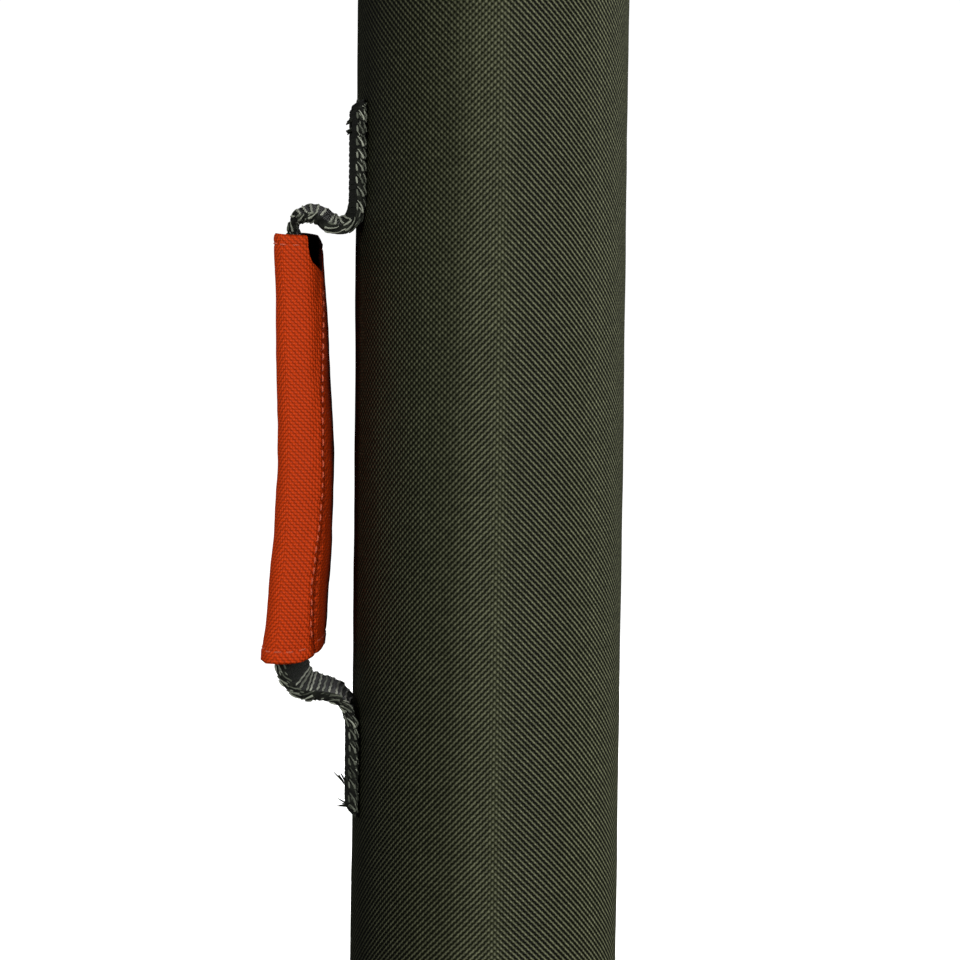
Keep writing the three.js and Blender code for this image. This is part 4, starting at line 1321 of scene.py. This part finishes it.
# moulded grip of the pull: a rounded bar with cross grooves
SL_T = math.radians(56.0)
rad_v = np.array([math.cos(SL_T), math.sin(SL_T), 0])
tan_v = np.array([-math.sin(SL_T), math.cos(SL_T), 0])
zz = np.linspace(-26.2, -12.2, 100)
u = np.linspace(0, 2 * PI, 48, endpoint=False)
Zg, Ug = np.meshgrid(zz, u, indexing="ij")
end = np.sqrt(np.clip(1 - np.clip((np.abs(Zg + 19.2) - 5.2) / 1.8, 0, 1) ** 2, 0.0, 1))
ht_, hr_ = 2.4 + 1.8 * end, 0.35 + 1.05 * np.sqrt(end)
waist = 1 - 0.10 * np.cos(2 * PI * (Zg + 19.2) / 14.0) * 1.0
groove = 0.26 * np.clip(np.cos(2 * PI * (Zg + 19.2) / 1.9), 0, 1) ** 2 * smoothstep(5.2 - np.abs(Zg + 19.2), 0, 0.6)
cx_, cy_ = np.cos(Ug), np.sin(Ug)
px = np.sign(cx_) * np.abs(cx_) ** 0.42 * np.minimum(ht_ * waist / 1.1, 4.2)
py = np.sign(cy_) * np.abs(cy_) ** 0.55 * (hr_ - groove * (np.abs(cy_) > 0.3))
Pg = (40.4 + py)[..., None] * rad_v + px[..., None] * tan_v + (ZIP_Z + Zg)[..., None] * np.array([0, 0, 1.0])
bb = Buf()
bb.grid(Pg, None, wj=True, cap0=True, cap1=True)
o = bb.object("zip_pull_moulding", M_RUBBER)
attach(o, "zip_pull")
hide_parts("zip_pull_grip")

# hinge of the lid: a strip of the cover's cloth
lo, hi = box_mm("lid_hinge_panel")
z0, z1 = lo[2], hi[2]
prof = [(36.9, z) for z in np.linspace(z0, z1, 34)] + [(36.2, z) for z in np.linspace(z1, z0, 34)]
bb = Buf()
lathe_buf(bb, np.linspace(math.radians(62.6), math.radians(117.4), 60), prof, full=False)
hinge = bb.object("lid_hinge_cloth", M_COVER)
# the edge beside the slider is cut back in a shallow curve, so that the slider has room when the strip folds
for v in hinge.data.vertices:
    a_, r2_, z_v = math.atan2(v.co.y, v.co.x), math.hypot(v.co.x, v.co.y), v.co.z / MM
    near_ = max(0.0, 1 - (a_ - math.radians(62.6)) / math.radians(14))
    cut_ = float(smoothstep(np.array(6.4 - abs(z_v - ZIP_Z)), 0.0, 2.2))
    a_ += math.radians(3.0) * near_ * cut_
    v.co.x, v.co.y = r2_ * math.cos(a_), r2_ * math.sin(a_)
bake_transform(hinge)
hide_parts("lid_hinge_panel")

# ------------------------------------------------------------------ inside
lo, hi = box_mm("divider_liner")
z0, z1 = lo[2], hi[2]
arm, ht2 = hi[0], 0.5
w_ = waves(101, 18, 40, 220)


def cross_section(n_=14):
    pts = []
    for q in range(4):
        c_, s_ = math.cos(q * PI / 2), math.sin(q * PI / 2)
        loc = [(ht2, -ht2 * 1.0)] + [(x, -ht2) for x in np.linspace(ht2, arm, n_)[1:]] + [(x, ht2) for x in np.linspace(arm, ht2, n_)[:-1]]
        pts += [(x * c_ - y * s_, x * s_ + y * c_) for x, y in loc]
    return np.array(pts)


cs = cross_section()
rows = np.linspace(z0, z1, 90)
Zc = np.repeat(rows[:, None], len(cs), 1)
Xc, Yc = np.repeat(cs[None, :, 0], 90, 0), np.repeat(cs[None, :, 1], 90, 0)
arm_x, arm_y = np.abs(Xc) > np.abs(Yc), np.abs(Yc) >= np.abs(Xc)
rim_f = smoothstep(np.hypot(Xc, Yc), 0.8, 6) * (1 - smoothstep(np.hypot(Xc, Yc), 28, 32))
amp_ = 0.9 * rim_f
Yd = Yc + arm_x * amp_ * w_(Xc, Zc)
Xd = Xc + arm_y * amp_ * w_(Yc + 500, Zc)
per = np.concatenate([[0], np.cumsum(np.linalg.norm(np.diff(np.vstack([cs, cs[:1]]), axis=0), axis=1))])
bb = Buf()
bb.grid(np.stack([Xd, Yd, Zc], -1), np.stack(np.meshgrid(rows, per, indexing="ij"), -1), wj=True, cap0=True, cap1=True)
div = bb.object("divider_cloth", M_LINER)
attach(div, "tube")
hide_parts("divider_liner")

# bound top edge of the divider
bb = Buf()
for dx, dy in ((1, 0), (0, 1)):
    x = np.linspace(-arm + 0.4, arm - 0.4, 90)
    wv = 0.9 * smoothstep(np.abs(x), 0.8, 6) * (1 - smoothstep(np.abs(x), 28, 32)) * (w_(x, np.full_like(x, z1)) if dx else w_(x + 500, np.full_like(x, z1)))
    pts = np.stack([x * dx + wv * dy, x * dy + wv * dx, np.full_like(x, z1 - 0.6)], 1)
    t = np.linspace(0, 2 * PI, 12, endpoint=False)
    side_ = np.array([dy, dx, 0.0])
    sq = np.stack([np.sign(np.cos(t)) * np.abs(np.cos(t)) ** 0.5 * 0.85, np.sign(np.sin(t)) * np.abs(np.sin(t)) ** 0.5 * 1.9 - 0.8], 1)
    P_ = pts[:, None, :] + sq[None, :, 0, None] * side_ + sq[None, :, 1, None] * np.array([0, 0, 1.0])
    bb.grid(P_, np.stack(np.meshgrid(x, np.linspace(0, 6, 13), indexing="ij"), -1), wj=True, cap0=True, cap1=True)
o = bb.object("divider_edge_binding", M_BINDING)
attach(o, "tube")

for node, body, puff, seed in (("base_foam", "tube", 0.25, 111), ("lid_foam", "lid", 0.15, 112)):
    lo, hi = box_mm(node)
    o = disc(node + "_pad", hi[0], lo[2] + (0.3 if body == "lid" else 0), hi[2] - (0.3 if body == "lid" else 0), M_FOAM, puff=puff, seed=seed, edge=1.2)
    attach(o, body)
    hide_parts(node)

lo, hi = box_mm("lid_lining")
o = disc("lid_lining_cloth", hi[0], lo[2], hi[2], M_LINER, puff=0.12, seed=113, edge=0.2)
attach(o, "lid")
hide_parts("lid_lining")

# foam inside the sleeve, with the webbing's slot left by its inner wall
zz = np.linspace(349, 444.5, 60)
ph = np.linspace(0, 360, 72, endpoint=False)
ZZ, PH = np.meshgrid(zz, ph, indexing="ij")
fade = smoothstep(ZZ, 349, 352.5) * (1 - smoothstep(ZZ, 441, 444.5))
Po, No = sleeve_point(PH, ZZ, -1.75 - 0.7 * (1 - fade))
sx, sy = 1.9, W_HALF + 0.75
cc, ss = np.cos(np.radians(PH)), np.sin(np.radians(PH))
Pi_ = np.stack([np.interp(ZZ, _slz, _slx) + sx * np.sign(cc) * np.abs(cc) ** 0.35, -sy * np.sign(ss) * np.abs(ss) ** 0.6, ZZ], -1)
# slot follows the webbing's own line
webx = np.interp(-ZZ, -np.interp(np.linspace(s_mid_up, s_mid_low, 300), s_dense, dense[:, 1]), np.interp(np.linspace(s_mid_up, s_mid_low, 300), s_dense, dense[:, 0]))
Pi_[..., 0] += webx - np.interp(ZZ, _slz, _slx)
Po[..., 1] = np.where(np.abs(Po[..., 1]) > 12.0, np.sign(Po[..., 1]) * np.maximum(np.abs(Po[..., 1]), 0), Po[..., 1])
allr = np.concatenate([Po, Pi_[::-1]], 0)
bb = Buf()
bb.grid(allr, None, wi=True, wj=True)
foam = bb.object("grip_foam_pad", M_FOAM)
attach(foam, "grip")
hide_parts("grip_foam")

# the webbing and the sleeve each stand nearer to a lamp of their own, which doesn't reach the tube
def only(lamp, name, objects, state="INCLUDE"):
    c = bpy.data.collections.new(name)
    for o in objects:
        c.objects.link(o)
    for co in c.collection_objects:
        co.light_linking.link_state = state
    lamp.light_linking.receiver_collection = c


only(area("webbing_lamp", polar(-38, 34, 1.6), MID, 0.35, 13), "lit_by_webbing_lamp", (webA, webB, webC, webD, foam))
only(area("sleeve_lamp", polar(-31, 20, 1.6), MID, 0.35, 19.5), "lit_by_sleeve_lamp", (sleeve, sl_st))
only(area("sleeve_fill", polar(35, 8, 1.6), MID, 0.35, 9.0), "lit_by_sleeve_fill", (sleeve, sl_st))
only(key_lamp, "not_lit_by_key", (sleeve, sl_st), "EXCLUDE")
only(rim_lamp, "not_lit_by_rim", (sleeve, sl_st), "EXCLUDE")
only(back_lamp, "not_lit_by_back", (sleeve, sl_st, foam), "EXCLUDE")
only(area("side_fill", polar(-78, 4, 1.8), MID, 0.5, 3.0, size_y=1.2), "lit_by_side_fill", (cover,))
